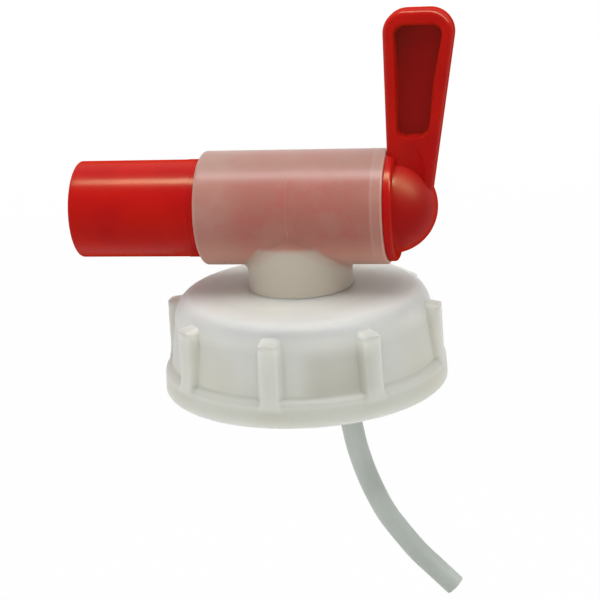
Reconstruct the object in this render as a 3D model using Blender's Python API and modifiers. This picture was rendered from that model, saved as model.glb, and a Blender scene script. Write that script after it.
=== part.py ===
"""Jerrycan tap: a swivelling screw cap that carries a barrel with a quarter-turn stem and a vent tube.

The frame: metres, +Z up along the neck, +X along the barrel towards the lever, so the spout points to -X.
The origin is on the cap's axis, in the plane where the gasket rests on the rim of the can's neck.
"""

import math

import bmesh
import bpy
from mathutils import Matrix, Vector

MM = 0.001

# Gaps between pieces that touch, slide or turn on each other.
CLEARANCE = 0.3 * MM
SEAL_CLEARANCE = 0.2 * MM

# Internal thread of the cap, which sets the cap's width. The cap's heights are measured along its axis.
THREAD_ROOT_RADIUS = 30.5 * MM
THREAD_DEPTH = 1.3 * MM
THREAD_PITCH = 6.0 * MM
THREAD_TURNS = 2
THREAD_START = 2.6 * MM
THREAD_CREST = 1.0 * MM
THREAD_FOOT = 2.8 * MM
THREAD_TOP_BELOW_SEAT = 4.4 * MM

# Screw cap.
CAP_SKIRT_WALL = 2.0 * MM
CAP_SKIRT_DRAFT = 0.9 * MM
CAP_RIM_PROUD = 2.5 * MM
CAP_RIM_HEIGHT = 5.1 * MM
CAP_RIM_ROUND = 0.7 * MM
CAP_LEDGE_HEIGHT = 2.3 * MM
CAP_DEPTH = 19.0 * MM
CAP_SHOULDER_WIDTH = 4.7 * MM
CAP_SHOULDER_HEIGHT = 6.8 * MM
CAP_TOP_WALL = 2.2 * MM
CAP_CROWN = 1.0 * MM
CAP_DISC_INSET = 5.4 * MM
CAP_DISC_STEP = 0.4 * MM
CAP_HOLE_RADIUS = 11.9 * MM
CAP_COLLAR_WALL = 3.4 * MM
CAP_COLLAR_DROP = 3.3 * MM

# Grip ribs of the cap: in each half of it one on the middle, one to either side, and one shared at each end.
RIB_WIDTH = 5.0 * MM
RIB_SPACING = math.radians(42.0)
RIB_PROUD_LOW = 1.9 * MM
RIB_PROUD_HIGH = 2.9 * MM
RIB_TOP_BELOW_CROWN = 3.8 * MM
RIB_ROUND = 0.9 * MM
RIB_TURN = math.radians(-3.0)

# Gasket in the top of the cap.
GASKET_INSET = 1.9 * MM
GASKET_THICKNESS = 2.0 * MM

# Seal ring on the spigot.
SEAL_SECTION_RADIUS = 0.75 * MM
SEAL_BELOW_CROWN = 3.5 * MM

# Stem: spout, plug, flange and dome, turned about the barrel's axis.
STEM_RADIUS = 11.85 * MM
STEM_WALL = 2.65 * MM
SPOUT_LENGTH = 31.4 * MM
SPOUT_EDGE_ROUND = 0.35 * MM
FLANGE_PROUD = 1.3 * MM
FLANGE_THICKNESS = 2.0 * MM
FLANGE_EDGE_ROUND = 0.7 * MM
DOME_INSET = 0.55 * MM
DOME_OFFSET = 0.2 * MM

# Barrel of the tap body, round the stem.
BARREL_WALL = 1.7 * MM
BARREL_LEFT = 22.6 * MM
BARREL_RIGHT = 22.4 * MM
BARREL_EDGE_ROUND = 0.8 * MM

# Neck and spigot of the tap body.
NECK_SHOWING = 5.35 * MM
NECK_SHOULDER_WIDTH = 1.2 * MM
SPIGOT_BELOW_SEAT = 8.5 * MM
BEAD_PROUD = 1.0 * MM
BEAD_HEIGHT = 1.8 * MM

# Vent tube, its socket in the spigot, and the air duct above it.
TUBE_RADIUS = 2.7 * MM
TUBE_STRAIGHT_END = 2.0 * MM
TUBE_FIRST_DROP = 1.5 * MM
TUBE_FIRST_SWAY = 0.2 * MM
SOCKET_WALL = 1.0 * MM
SOCKET_ROOF = 0.95 * MM
AIR_DUCT_RADIUS = 1.6 * MM

# Liquid passage beside the socket.
BRIDGE_WALL = 1.0 * MM
SPIGOT_WALL = 0.8 * MM
LIQUID_BORE_OFFSET = -1.0 * MM
LIQUID_PORT_MARGIN = 0.8 * MM

# Snap ring that keeps the stem in the barrel, and the lug that ends its quarter turn.
SNAP_PROUD = 0.55 * MM
SNAP_WIDTH = 1.0 * MM
SNAP_FROM_END = 3.2 * MM
LUG_PROUD = 0.85 * MM
LUG_LENGTH = 1.5 * MM
LUG_HALF_ANGLE = math.radians(12.0)
STOP_PLAY = math.radians(1.5)
LEVER_TRAVEL = math.radians(90.0)

# Air channel along the spout, and the groove round the plug that leads to it.
AIR_CHANNEL_DEPTH = 3.0 * MM
PARTITION_THICKNESS = 1.2 * MM
PARTITION_INSET = 2.0 * MM
AIR_GROOVE_WIDTH = 3.0 * MM
AIR_GROOVE_DEPTH = 1.2 * MM
AIR_GROOVE_OVERLAP = math.radians(9.0)
AIR_PORT_RADIUS = 1.4 * MM

# Lever, with a pocket in each face. Heights are measured from the barrel's axis.
LEVER_HEIGHT = 46.8 * MM
LEVER_THICKNESS = 6.4 * MM
LEVER_FOOT_WIDTH = 9.85 * MM
LEVER_TOP_WIDTH = 17.8 * MM
LEVER_LEAN = 0.3 * MM
LEVER_CORNER_RADIUS = 5.6 * MM
LEVER_EDGE_ROUND = 0.7 * MM
POCKET_DEPTH = 2.2 * MM
POCKET_ABOVE_DOME = 5.6 * MM
POCKET_LEFT_WALL = 2.6 * MM
POCKET_RIGHT_WALL = 2.6 * MM
POCKET_TOP_WALL = 3.1 * MM
POCKET_CORNER_RADIUS = 2.4 * MM

# Radii that follow from a neighbour's size.
CAP_SKIRT_RADIUS = THREAD_ROOT_RADIUS + CAP_SKIRT_WALL
CAP_RIM_RADIUS = CAP_SKIRT_RADIUS + CAP_RIM_PROUD
GASKET_RADIUS = THREAD_ROOT_RADIUS - GASKET_INSET
SEAT_RADIUS = GASKET_RADIUS + CLEARANCE
COLLAR_RADIUS = CAP_HOLE_RADIUS + CAP_COLLAR_WALL
GASKET_HOLE_RADIUS = COLLAR_RADIUS + CLEARANCE
SPIGOT_RADIUS = CAP_HOLE_RADIUS - CLEARANCE
NECK_RADIUS = SPIGOT_RADIUS + NECK_SHOULDER_WIDTH
SEAL_GROOVE_RADIUS = CAP_HOLE_RADIUS - 2 * SEAL_SECTION_RADIUS - 2 * SEAL_CLEARANCE
SEAL_GROOVE_HALF = SEAL_SECTION_RADIUS + SEAL_CLEARANCE
SOCKET_RADIUS = TUBE_RADIUS + CLEARANCE
BARREL_BORE_RADIUS = STEM_RADIUS + CLEARANCE
BARREL_RADIUS = BARREL_BORE_RADIUS + BARREL_WALL
STEM_BORE_RADIUS = STEM_RADIUS - STEM_WALL
FLANGE_RADIUS = STEM_RADIUS + FLANGE_PROUD
DOME_RADIUS = STEM_RADIUS - DOME_INSET
PARTITION_FACE = STEM_BORE_RADIUS - AIR_CHANNEL_DEPTH
POCKET_FOOT = DOME_RADIUS + POCKET_ABOVE_DOME

# Levels along Z that follow from the sizes above.
RIM_Z = -CAP_DEPTH
SEAT_Z = GASKET_THICKNESS + CLEARANCE
CAP_TOP_EDGE_Z = SEAT_Z + CAP_TOP_WALL
CAP_CROWN_Z = CAP_TOP_EDGE_Z + CAP_CROWN
COLLAR_END_Z = SEAT_Z - CAP_COLLAR_DROP
NECK_SHOULDER_Z = CAP_CROWN_Z + CLEARANCE
BARREL_Z = CAP_CROWN_Z + NECK_SHOWING + BARREL_RADIUS
BEAD_TOP_Z = COLLAR_END_Z - CLEARANCE
SPIGOT_END_Z = -SPIGOT_BELOW_SEAT
SEAL_Z = CAP_CROWN_Z - SEAL_BELOW_CROWN
SOCKET_TOP_Z = SEAL_Z - SEAL_GROOVE_HALF - SOCKET_ROOF
THREAD_TOP_Z = SEAT_Z - THREAD_TOP_BELOW_SEAT

# Places along X that follow from the sizes above.
FLANGE_X = BARREL_RIGHT + CLEARANCE
DOME_X = FLANGE_X + DOME_OFFSET
SPOUT_END_X = -BARREL_LEFT - SPOUT_LENGTH
AIR_AXIS = SPIGOT_RADIUS - SOCKET_WALL - SOCKET_RADIUS
BRIDGE_FACE = AIR_AXIS - SOCKET_RADIUS - BRIDGE_WALL

# The liquid passage keeps its wall to the seal's groove, and the stem's port lies within it.
LIQUID_BORE_RADIUS = SEAL_GROOVE_RADIUS - SPIGOT_WALL + LIQUID_BORE_OFFSET
LIQUID_BORE_LEFT = LIQUID_BORE_OFFSET - LIQUID_BORE_RADIUS
LIQUID_PORT_X = (BRIDGE_FACE + LIQUID_BORE_LEFT) / 2
LIQUID_PORT_RADIUS = (BRIDGE_FACE - LIQUID_BORE_LEFT) / 2 - LIQUID_PORT_MARGIN

# Route of the vent tube, from the top of its socket down to its cut end. Chosen by eye.
TUBE_ROUTE = [
    (AIR_AXIS, SOCKET_TOP_Z - CLEARANCE),
    (AIR_AXIS, SPIGOT_END_Z + TUBE_STRAIGHT_END),
    (AIR_AXIS + TUBE_FIRST_SWAY, SPIGOT_END_Z - TUBE_FIRST_DROP),
    (8.1 * MM, -13.0 * MM),
    (8.9 * MM, -19.5 * MM),
    (9.8 * MM, -26.0 * MM),
    (10.7 * MM, -31.3 * MM),
    (12.0 * MM, -38.3 * MM),
    (14.3 * MM, -45.9 * MM),
    (18.0 * MM, -54.4 * MM),
    (22.2 * MM, -60.7 * MM),
    (26.3 * MM, -66.0 * MM),
    (30.4 * MM, -70.2 * MM),
    (35.2 * MM, -75.1 * MM),
]
TUBE_POINT_SPACING = 2.2
ROUTE_FINE_STEPS = 24

# Steps round a full turn, by size, and steps along the arcs of the profiles and outlines.
STEPS_LARGE = 72
STEPS_MEDIUM = 48
STEPS_SMALL = 20
STEPS_THREAD = 36
SHOULDER_STEPS = 6
EDGE_STEPS = 3
CORNER_STEPS = 5
SECTION_STEPS = 8
DOME_STEPS = 12
TRACK_STEPS = 24
PASSAGE_STEPS = 32

SHARP_ANGLE = math.radians(32.0)
BEVEL_ANGLE = math.radians(60.0)
BEVEL_SEGMENTS = 2


def clear_scene():
    for scene_object in list(bpy.data.objects):
        bpy.data.objects.remove(scene_object, do_unlink=True)


def make_collection(name):
    collection = bpy.data.collections.new(name)
    bpy.context.scene.collection.children.link(collection)
    return collection


def make_material(name, colour, roughness, alpha=1.0):
    material = bpy.data.materials.new(name)
    material.use_nodes = True
    shader = material.node_tree.nodes["Principled BSDF"]
    shader.inputs["Base Color"].default_value = (*colour, 1.0)
    shader.inputs["Roughness"].default_value = roughness
    shader.inputs["Metallic"].default_value = 0.0
    shader.inputs["Alpha"].default_value = alpha
    return material


def add_object(name, data, collection):
    scene_object = bpy.data.objects.new(name, data)
    collection.objects.link(scene_object)
    return scene_object


def arc(centre, radius, start, end, count):
    """Points on an arc in the profile plane, from one angle to another."""
    return [
        (
            centre[0] + radius * math.cos(start + (end - start) * i / count),
            centre[1] + radius * math.sin(start + (end - start) * i / count),
        )
        for i in range(count + 1)
    ]


def rounded_polygon(corners, count=CORNER_STEPS):
    """The closed outline through corners (x, y, radius), each corner an arc of its radius."""
    outline = []
    for i, (x, y, radius) in enumerate(corners):
        corner = Vector((x, y))
        before = (Vector(corners[i - 1][:2]) - corner).normalized()
        after = (Vector(corners[(i + 1) % len(corners)][:2]) - corner).normalized()
        if not radius:
            outline.append((x, y))
            continue
        half = before.angle(after) / 2
        bisector = (before + after).normalized()
        centre = corner + bisector * radius / math.sin(half)
        start = corner + before * radius / math.tan(half) - centre
        end = corner + after * radius / math.tan(half) - centre
        turn = start.angle_signed(end)
        for j in range(count + 1):
            spoke = Matrix.Rotation(-turn * j / count, 2) @ start
            outline.append(tuple(centre + spoke))
    return outline


def turned(name, profile, collection, steps, closed=False):
    """A profile of (radius, height) turned about Z. An open profile starts and ends on the axis."""
    mesh = bpy.data.meshes.new(name)
    bm = bmesh.new()
    points = [bm.verts.new((radius, 0.0, height)) for radius, height in profile]
    for first, second in zip(points, points[1:]):
        bm.edges.new((first, second))
    if closed:
        bm.edges.new((points[-1], points[0]))
    bm.to_mesh(mesh)
    bm.free()
    scene_object = add_object(name, mesh, collection)
    screw = scene_object.modifiers.new("turn", "SCREW")
    screw.axis = "Z"
    screw.steps = steps
    screw.render_steps = steps
    screw.use_merge_vertices = True
    screw.merge_threshold = 0.00001
    screw.use_normal_calculate = False
    return scene_object


def plate(name, outline, thickness, collection):
    """A flat outline, thickened equally to both sides of its plane, as a mesh."""
    curve = bpy.data.curves.new(name, "CURVE")
    curve.dimensions = "2D"
    curve.fill_mode = "BOTH"
    curve.extrude = thickness / 2
    spline = curve.splines.new("POLY")
    spline.points.add(len(outline) - 1)
    for point, (x, y) in zip(spline.points, outline):
        point.co = (x, y, 0.0, 1.0)
    spline.use_cyclic_u = True
    return to_mesh_object(add_object(name, curve, collection), collection)


def to_mesh_object(source, collection):
    """A closed mesh object in the place of a curve or of an object with modifiers."""
    name = source.name
    bpy.context.view_layer.update()
    graph = bpy.context.evaluated_depsgraph_get()
    mesh = bpy.data.meshes.new_from_object(source.evaluated_get(graph), depsgraph=graph)
    place = source.matrix_world.copy()
    bpy.data.objects.remove(source, do_unlink=True)
    bm = bmesh.new()
    bm.from_mesh(mesh)
    bmesh.ops.remove_doubles(bm, verts=bm.verts, dist=0.000002)
    bm.to_mesh(mesh)
    bm.free()
    mesh_object = add_object(name, mesh, collection)
    mesh_object.matrix_world = place
    return mesh_object


def cylinder(name, radius, length, collection, steps=STEPS_MEDIUM):
    """A solid cylinder along Z, centred on the origin."""
    mesh = bpy.data.meshes.new(name)
    bm = bmesh.new()
    bmesh.ops.create_cone(bm, cap_ends=True, segments=steps, radius1=radius, radius2=radius, depth=length)
    bm.to_mesh(mesh)
    bm.free()
    return add_object(name, mesh, collection)


def block(name, low, high, collection):
    """A solid box between two opposite corners."""
    mesh = bpy.data.meshes.new(name)
    bm = bmesh.new()
    bmesh.ops.create_cube(bm, size=1.0)
    low, high = Vector(low), Vector(high)
    bmesh.ops.scale(bm, vec=high - low, verts=bm.verts)
    bmesh.ops.translate(bm, vec=(low + high) / 2, verts=bm.verts)
    bm.to_mesh(mesh)
    bm.free()
    return add_object(name, mesh, collection)


def boolean(target, other, operation):
    modifier = target.modifiers.new(operation.lower() + " " + other.name, "BOOLEAN")
    modifier.operation = operation
    modifier.solver = "EXACT"
    modifier.object = other
    other.hide_render = True
    other.display_type = "WIRE"


def lay_along_x(scene_object, height=0.0):
    """Turn what stands along Z so that its top points to +X, at a height above the origin."""
    scene_object.matrix_world = Matrix.Translation((0, 0, height)) @ Matrix.Rotation(math.pi / 2, 4, "Y")


def round_edges(scene_object, width):
    bevel = scene_object.modifiers.new("round edges", "BEVEL")
    bevel.width = width
    bevel.segments = BEVEL_SEGMENTS
    bevel.limit_method = "ANGLE"
    bevel.angle_limit = BEVEL_ANGLE


def finish(scene_object, material):
    scene_object.data.materials.clear()
    scene_object.data.materials.append(material)
    scene_object.data.shade_smooth()
    scene_object.data.set_sharp_from_angle(angle=SHARP_ANGLE)


def skirt_radius(height):
    """Outer radius of the cap's skirt between the ribs, at a height above the rim."""
    foot = CAP_RIM_HEIGHT + CAP_LEDGE_HEIGHT
    top = CAP_TOP_EDGE_Z - RIM_Z - CAP_SHOULDER_HEIGHT
    share = (height - foot) / (top - foot)
    return CAP_SKIRT_RADIUS - CAP_SKIRT_DRAFT * share


def cap_profile():
    """Section of the cap: down the outside, and up the inside to the hole."""
    shoulder_foot_z = CAP_TOP_EDGE_Z - CAP_SHOULDER_HEIGHT
    shoulder_radius = skirt_radius(shoulder_foot_z - RIM_Z) - CAP_SHOULDER_WIDTH
    disc_radius = shoulder_radius - CAP_DISC_INSET
    disc_z = CAP_TOP_EDGE_Z + (CAP_CROWN - CAP_DISC_STEP) / 2
    profile = [(CAP_HOLE_RADIUS, CAP_CROWN_Z)]
    profile.append((disc_radius - CAP_DISC_STEP, disc_z + CAP_DISC_STEP))
    profile.append((disc_radius, disc_z))
    for i in range(SHOULDER_STEPS + 1):
        angle = math.pi / 2 * (1 - i / SHOULDER_STEPS)
        profile.append(
            (
                shoulder_radius + CAP_SHOULDER_WIDTH * math.cos(angle),
                shoulder_foot_z + CAP_SHOULDER_HEIGHT * math.sin(angle),
            )
        )
    profile.append((CAP_SKIRT_RADIUS, RIM_Z + CAP_RIM_HEIGHT + CAP_LEDGE_HEIGHT))
    profile.append((CAP_RIM_RADIUS - CAP_RIM_ROUND / 2, RIM_Z + CAP_RIM_HEIGHT + CAP_RIM_ROUND / 2))
    profile.append((CAP_RIM_RADIUS, RIM_Z + CAP_RIM_HEIGHT - CAP_RIM_ROUND))
    profile.append((CAP_RIM_RADIUS, RIM_Z + CAP_RIM_ROUND))
    profile.append((CAP_RIM_RADIUS - CAP_RIM_ROUND, RIM_Z))
    profile.append((THREAD_ROOT_RADIUS, RIM_Z))
    profile.append((THREAD_ROOT_RADIUS, THREAD_TOP_Z))
    profile.append((SEAT_RADIUS, THREAD_TOP_Z + THREAD_ROOT_RADIUS - SEAT_RADIUS))
    profile.append((SEAT_RADIUS, SEAT_Z))
    profile.append((COLLAR_RADIUS, SEAT_Z))
    profile.append((COLLAR_RADIUS, COLLAR_END_Z))
    profile.append((CAP_HOLE_RADIUS, COLLAR_END_Z))
    return profile


def make_ribs(cutters):
    """The grip ribs, each sunk into the skirt, as one mesh."""
    low = RIM_Z + CAP_RIM_HEIGHT - CAP_RIM_ROUND
    high = CAP_CROWN_Z - RIB_TOP_BELOW_CROWN
    outer_low = CAP_SKIRT_RADIUS + RIB_PROUD_LOW
    outer_high = skirt_radius(high - RIM_Z) + RIB_PROUD_HIGH
    inner = THREAD_ROOT_RADIUS + CLEARANCE
    corners = [
        (inner, low, 0.0),
        (outer_low, low, 0.0),
        (outer_high, high, RIB_ROUND),
        (SEAT_RADIUS + 2 * CLEARANCE, high + CLEARANCE, 0.0),
        (inner, THREAD_TOP_Z, 0.0),
    ]
    rib = plate("rib", rounded_polygon(corners, EDGE_STEPS), RIB_WIDTH, cutters)
    rib.matrix_world = Matrix.Rotation(math.pi / 2, 4, "X")
    round_edges(rib, RIB_ROUND)
    rib = to_mesh_object(rib, cutters)
    bm = bmesh.new()
    half = [0.0, math.pi / 2 - RIB_SPACING, math.pi / 2, math.pi / 2 + RIB_SPACING]
    for angle in half + [angle + math.pi for angle in half]:
        copy = rib.data.copy()
        copy.transform(Matrix.Rotation(RIB_TURN + angle, 4, "Z") @ rib.matrix_world)
        bm.from_mesh(copy)
        bpy.data.meshes.remove(copy)
    mesh = bpy.data.meshes.new("ribs")
    bm.to_mesh(mesh)
    bm.free()
    bpy.data.objects.remove(rib, do_unlink=True)
    return add_object("ribs", mesh, cutters)


def make_thread(cutters):
    """The thread's ridge, a trapezoid carried along a helix, with both ends closed."""
    mesh = bpy.data.meshes.new("thread")
    bm = bmesh.new()
    sunk = THREAD_ROOT_RADIUS + THREAD_DEPTH / 3
    crest = THREAD_ROOT_RADIUS - THREAD_DEPTH
    base = RIM_Z + THREAD_START
    section = [
        (sunk, base - THREAD_FOOT / 2),
        (crest, base - THREAD_CREST / 2),
        (crest, base + THREAD_CREST / 2),
        (sunk, base + THREAD_FOOT / 2),
    ]
    points = [bm.verts.new((x, 0.0, z)) for x, z in section]
    for first, second in zip(points, points[1:] + points[:1]):
        bm.edges.new((first, second))
    bm.to_mesh(mesh)
    bm.free()
    thread = add_object("thread", mesh, cutters)
    screw = thread.modifiers.new("helix", "SCREW")
    screw.axis = "Z"
    screw.steps = STEPS_THREAD
    screw.render_steps = STEPS_THREAD
    screw.screw_offset = THREAD_PITCH
    screw.iterations = THREAD_TURNS
    screw.use_merge_vertices = False
    thread = to_mesh_object(thread, cutters)
    bm = bmesh.new()
    bm.from_mesh(thread.data)
    bmesh.ops.holes_fill(bm, edges=[edge for edge in bm.edges if edge.is_boundary], sides=0)
    bmesh.ops.recalc_face_normals(bm, faces=bm.faces)
    bm.to_mesh(thread.data)
    bm.free()
    return thread


def make_screw_cap(parts, cutters, material):
    cap = turned("screw_cap", cap_profile(), parts, STEPS_LARGE, closed=True)
    boolean(cap, make_ribs(cutters), "UNION")
    boolean(cap, make_thread(cutters), "UNION")
    cap = to_mesh_object(cap, parts)
    finish(cap, material)
    return cap


def make_gasket(parts, material):
    profile = [
        (GASKET_HOLE_RADIUS, GASKET_THICKNESS),
        (GASKET_RADIUS, GASKET_THICKNESS),
        (GASKET_RADIUS, 0.0),
        (GASKET_HOLE_RADIUS, 0.0),
    ]
    gasket = to_mesh_object(turned("cap_gasket", profile, parts, STEPS_LARGE, closed=True), parts)
    finish(gasket, material)
    return gasket


def make_neck_seal(parts, material):
    outer = CAP_HOLE_RADIUS - SEAL_CLEARANCE
    centre = (outer - SEAL_SECTION_RADIUS, SEAL_Z)
    section = arc(centre, SEAL_SECTION_RADIUS, math.pi / 2, -1.5 * math.pi, SECTION_STEPS)
    seal = to_mesh_object(turned("neck_seal", section[:-1], parts, STEPS_MEDIUM, closed=True), parts)
    finish(seal, material)
    return seal


def neck_profile():
    """Half section of the neck and spigot as a solid, from the barrel down to the spigot's end."""
    bead_radius = SPIGOT_RADIUS + BEAD_PROUD
    return [
        (0.0, BARREL_Z),
        (NECK_RADIUS, BARREL_Z),
        (NECK_RADIUS, NECK_SHOULDER_Z),
        (SPIGOT_RADIUS, NECK_SHOULDER_Z),
        (SPIGOT_RADIUS, SEAL_Z + SEAL_GROOVE_HALF),
        (SEAL_GROOVE_RADIUS, SEAL_Z + SEAL_GROOVE_HALF),
        (SEAL_GROOVE_RADIUS, SEAL_Z - SEAL_GROOVE_HALF),
        (SPIGOT_RADIUS, SEAL_Z - SEAL_GROOVE_HALF),
        (SPIGOT_RADIUS, BEAD_TOP_Z),
        (bead_radius, BEAD_TOP_Z),
        (bead_radius, BEAD_TOP_Z - BEAD_HEIGHT / 3),
        (SPIGOT_RADIUS, BEAD_TOP_Z - BEAD_HEIGHT),
        (SPIGOT_RADIUS, SPIGOT_END_Z),
        (0.0, SPIGOT_END_Z),
    ]


def liquid_bore_cutter(cutters):
    """D-shaped passage through the spigot and neck, flat on the side of the air duct."""
    half_chord = math.acos((BRIDGE_FACE - LIQUID_BORE_OFFSET) / LIQUID_BORE_RADIUS)
    centre = (LIQUID_BORE_OFFSET, 0.0)
    outline = arc(centre, LIQUID_BORE_RADIUS, half_chord, math.tau - half_chord, PASSAGE_STEPS)
    length = BARREL_Z - SPIGOT_END_Z + CLEARANCE * 4
    cutter = plate("liquid bore", outline, length, cutters)
    cutter.location.z = BARREL_Z - length / 2
    return cutter


def lug_recess_cutter(cutters):
    """Arc recess in the barrel's mouth, in which the stem's lug travels."""
    margin = LUG_HALF_ANGLE + STOP_PLAY
    start = math.pi / 2 - LEVER_TRAVEL - margin
    end = math.pi / 2 + margin
    inner = BARREL_BORE_RADIUS - CLEARANCE
    outer = BARREL_BORE_RADIUS + LUG_PROUD
    outline = arc((0, 0), outer, start, end, TRACK_STEPS)
    outline += arc((0, 0), inner, end, start, TRACK_STEPS)
    depth = LUG_LENGTH + 2 * CLEARANCE
    cutter = plate("lug recess", outline, 2 * depth, cutters)
    cutter.matrix_world = across_barrel(BARREL_RIGHT + CLEARANCE)
    return cutter


def across_barrel(x):
    """Lays an outline drawn in (y, z) across the barrel's axis at a place along it."""
    turn = Matrix(((0, 0, 1), (1, 0, 0), (0, 1, 0))).to_4x4()
    return Matrix.Translation((x, 0, BARREL_Z)) @ turn


def make_tap_body(parts, cutters, material):
    edge = BARREL_EDGE_ROUND
    right = (BARREL_RADIUS - edge, BARREL_RIGHT - edge)
    left = (BARREL_RADIUS - edge, edge - BARREL_LEFT)
    barrel = [(0.0, BARREL_RIGHT)]
    barrel += arc(right, edge, math.pi / 2, 0, EDGE_STEPS)
    barrel += arc(left, edge, 0, -math.pi / 2, EDGE_STEPS)
    barrel.append((0.0, -BARREL_LEFT))
    body = turned("tap_body", barrel, parts, STEPS_MEDIUM)
    lay_along_x(body, BARREL_Z)
    neck = turned("neck", neck_profile(), cutters, STEPS_MEDIUM)
    boolean(body, to_mesh_object(neck, cutters), "UNION")

    snap_middle = BARREL_RIGHT - SNAP_FROM_END
    snap_half = SNAP_WIDTH / 2 + CLEARANCE
    groove_radius = BARREL_BORE_RADIUS + SNAP_PROUD
    bore = [
        (0.0, BARREL_RIGHT + CLEARANCE),
        (BARREL_BORE_RADIUS, BARREL_RIGHT + CLEARANCE),
        (BARREL_BORE_RADIUS, snap_middle + snap_half),
        (groove_radius, snap_middle + snap_half),
        (groove_radius, snap_middle - snap_half),
        (BARREL_BORE_RADIUS, snap_middle - snap_half),
        (BARREL_BORE_RADIUS, -BARREL_LEFT - CLEARANCE),
        (0.0, -BARREL_LEFT - CLEARANCE),
    ]
    bore = turned("barrel bore", bore, cutters, STEPS_MEDIUM)
    lay_along_x(bore, BARREL_Z)
    boolean(body, to_mesh_object(bore, cutters), "DIFFERENCE")
    boolean(body, lug_recess_cutter(cutters), "DIFFERENCE")
    boolean(body, liquid_bore_cutter(cutters), "DIFFERENCE")

    duct = cylinder("air duct", AIR_DUCT_RADIUS, BARREL_Z - SOCKET_TOP_Z + CLEARANCE, cutters, STEPS_SMALL)
    duct.location = (AIR_AXIS, 0, (BARREL_Z + SOCKET_TOP_Z - CLEARANCE) / 2)
    boolean(body, duct, "DIFFERENCE")
    depth = SOCKET_TOP_Z - SPIGOT_END_Z + CLEARANCE
    socket = cylinder("tube socket", SOCKET_RADIUS, depth, cutters, STEPS_SMALL)
    socket.location = (AIR_AXIS, 0, SOCKET_TOP_Z - depth / 2)
    boolean(body, socket, "DIFFERENCE")
    body = to_mesh_object(body, parts)
    finish(body, material)
    return body


def stem_profile():
    """Closed section of the stem, from the dome along the outside to the spout, and back along the bore."""
    snap_middle = BARREL_RIGHT - SNAP_FROM_END
    snap_radius = STEM_RADIUS + SNAP_PROUD
    flange_end = FLANGE_X + FLANGE_THICKNESS
    dome_start = math.asin((flange_end - DOME_X) / DOME_RADIUS)
    flange_edge = (FLANGE_RADIUS - FLANGE_EDGE_ROUND, flange_end - FLANGE_EDGE_ROUND)
    profile = arc((0.0, DOME_X), DOME_RADIUS, math.pi / 2, dome_start, DOME_STEPS)
    profile += arc(flange_edge, FLANGE_EDGE_ROUND, math.pi / 2, 0, EDGE_STEPS)
    profile += [
        (FLANGE_RADIUS, FLANGE_X + CLEARANCE),
        (FLANGE_RADIUS - CLEARANCE, FLANGE_X),
        (STEM_RADIUS, FLANGE_X),
        (STEM_RADIUS, snap_middle + SNAP_WIDTH / 2),
        (snap_radius, snap_middle + SNAP_WIDTH / 4),
        (snap_radius, snap_middle - SNAP_WIDTH / 4),
        (STEM_RADIUS, snap_middle - SNAP_WIDTH / 2),
        (STEM_RADIUS, SPOUT_END_X + SPOUT_EDGE_ROUND),
        (STEM_RADIUS - SPOUT_EDGE_ROUND, SPOUT_END_X),
        (STEM_BORE_RADIUS, SPOUT_END_X),
    ]
    profile += arc((0.0, DOME_X), STEM_BORE_RADIUS, 0, math.pi / 2, SECTION_STEPS)
    return profile


def lever_outline():
    """Corners of the lever in (x, height above the barrel's axis), each with its radius."""
    left = FLANGE_X
    return [
        (left, 0.0, 0.0),
        (left + LEVER_FOOT_WIDTH, 0.0, 0.0),
        (left + LEVER_TOP_WIDTH, LEVER_HEIGHT, LEVER_CORNER_RADIUS),
        (left + LEVER_LEAN, LEVER_HEIGHT, LEVER_CORNER_RADIUS),
    ]


def pocket_outline():
    """Corners of the pocket, set in from the lever's sides by the walls."""
    left = FLANGE_X
    slope = (LEVER_TOP_WIDTH - LEVER_FOOT_WIDTH) / LEVER_HEIGHT
    top = LEVER_HEIGHT - POCKET_TOP_WALL
    right_foot = left + LEVER_FOOT_WIDTH + slope * POCKET_FOOT - POCKET_RIGHT_WALL
    right_top = left + LEVER_FOOT_WIDTH + slope * top - POCKET_RIGHT_WALL
    return [
        (left + POCKET_LEFT_WALL, POCKET_FOOT, POCKET_CORNER_RADIUS),
        (right_foot, POCKET_FOOT, POCKET_CORNER_RADIUS),
        (right_top, top, POCKET_CORNER_RADIUS),
        (left + LEVER_LEAN + POCKET_LEFT_WALL, top, POCKET_CORNER_RADIUS),
    ]


def make_lever(cutters):
    upright = Matrix.Translation((0, 0, BARREL_Z)) @ Matrix.Rotation(math.pi / 2, 4, "X")
    lever = plate("lever", rounded_polygon(lever_outline()), LEVER_THICKNESS, cutters)
    lever.matrix_world = upright
    round_edges(lever, LEVER_EDGE_ROUND)
    lever = to_mesh_object(lever, cutters)
    for side in (-1, 1):
        pocket = plate("lever pocket", rounded_polygon(pocket_outline()), 2 * POCKET_DEPTH, cutters)
        pocket.matrix_world = Matrix.Translation((0, side * LEVER_THICKNESS / 2, 0)) @ upright
        boolean(lever, pocket, "DIFFERENCE")
    return to_mesh_object(lever, cutters)


def make_lug(cutters):
    """Stop lug beside the flange, on the lever's side of the stem."""
    start = math.pi / 2 - LUG_HALF_ANGLE
    end = math.pi / 2 + LUG_HALF_ANGLE
    outline = arc((0, 0), STEM_RADIUS + LUG_PROUD, start, end, CORNER_STEPS)
    outline += arc((0, 0), STEM_RADIUS - LUG_PROUD, end, start, CORNER_STEPS)
    lug = plate("stop lug", outline, LUG_LENGTH + 2 * CLEARANCE, cutters)
    lug.matrix_world = across_barrel(FLANGE_X - LUG_LENGTH / 2 + CLEARANCE)
    return lug


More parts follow.
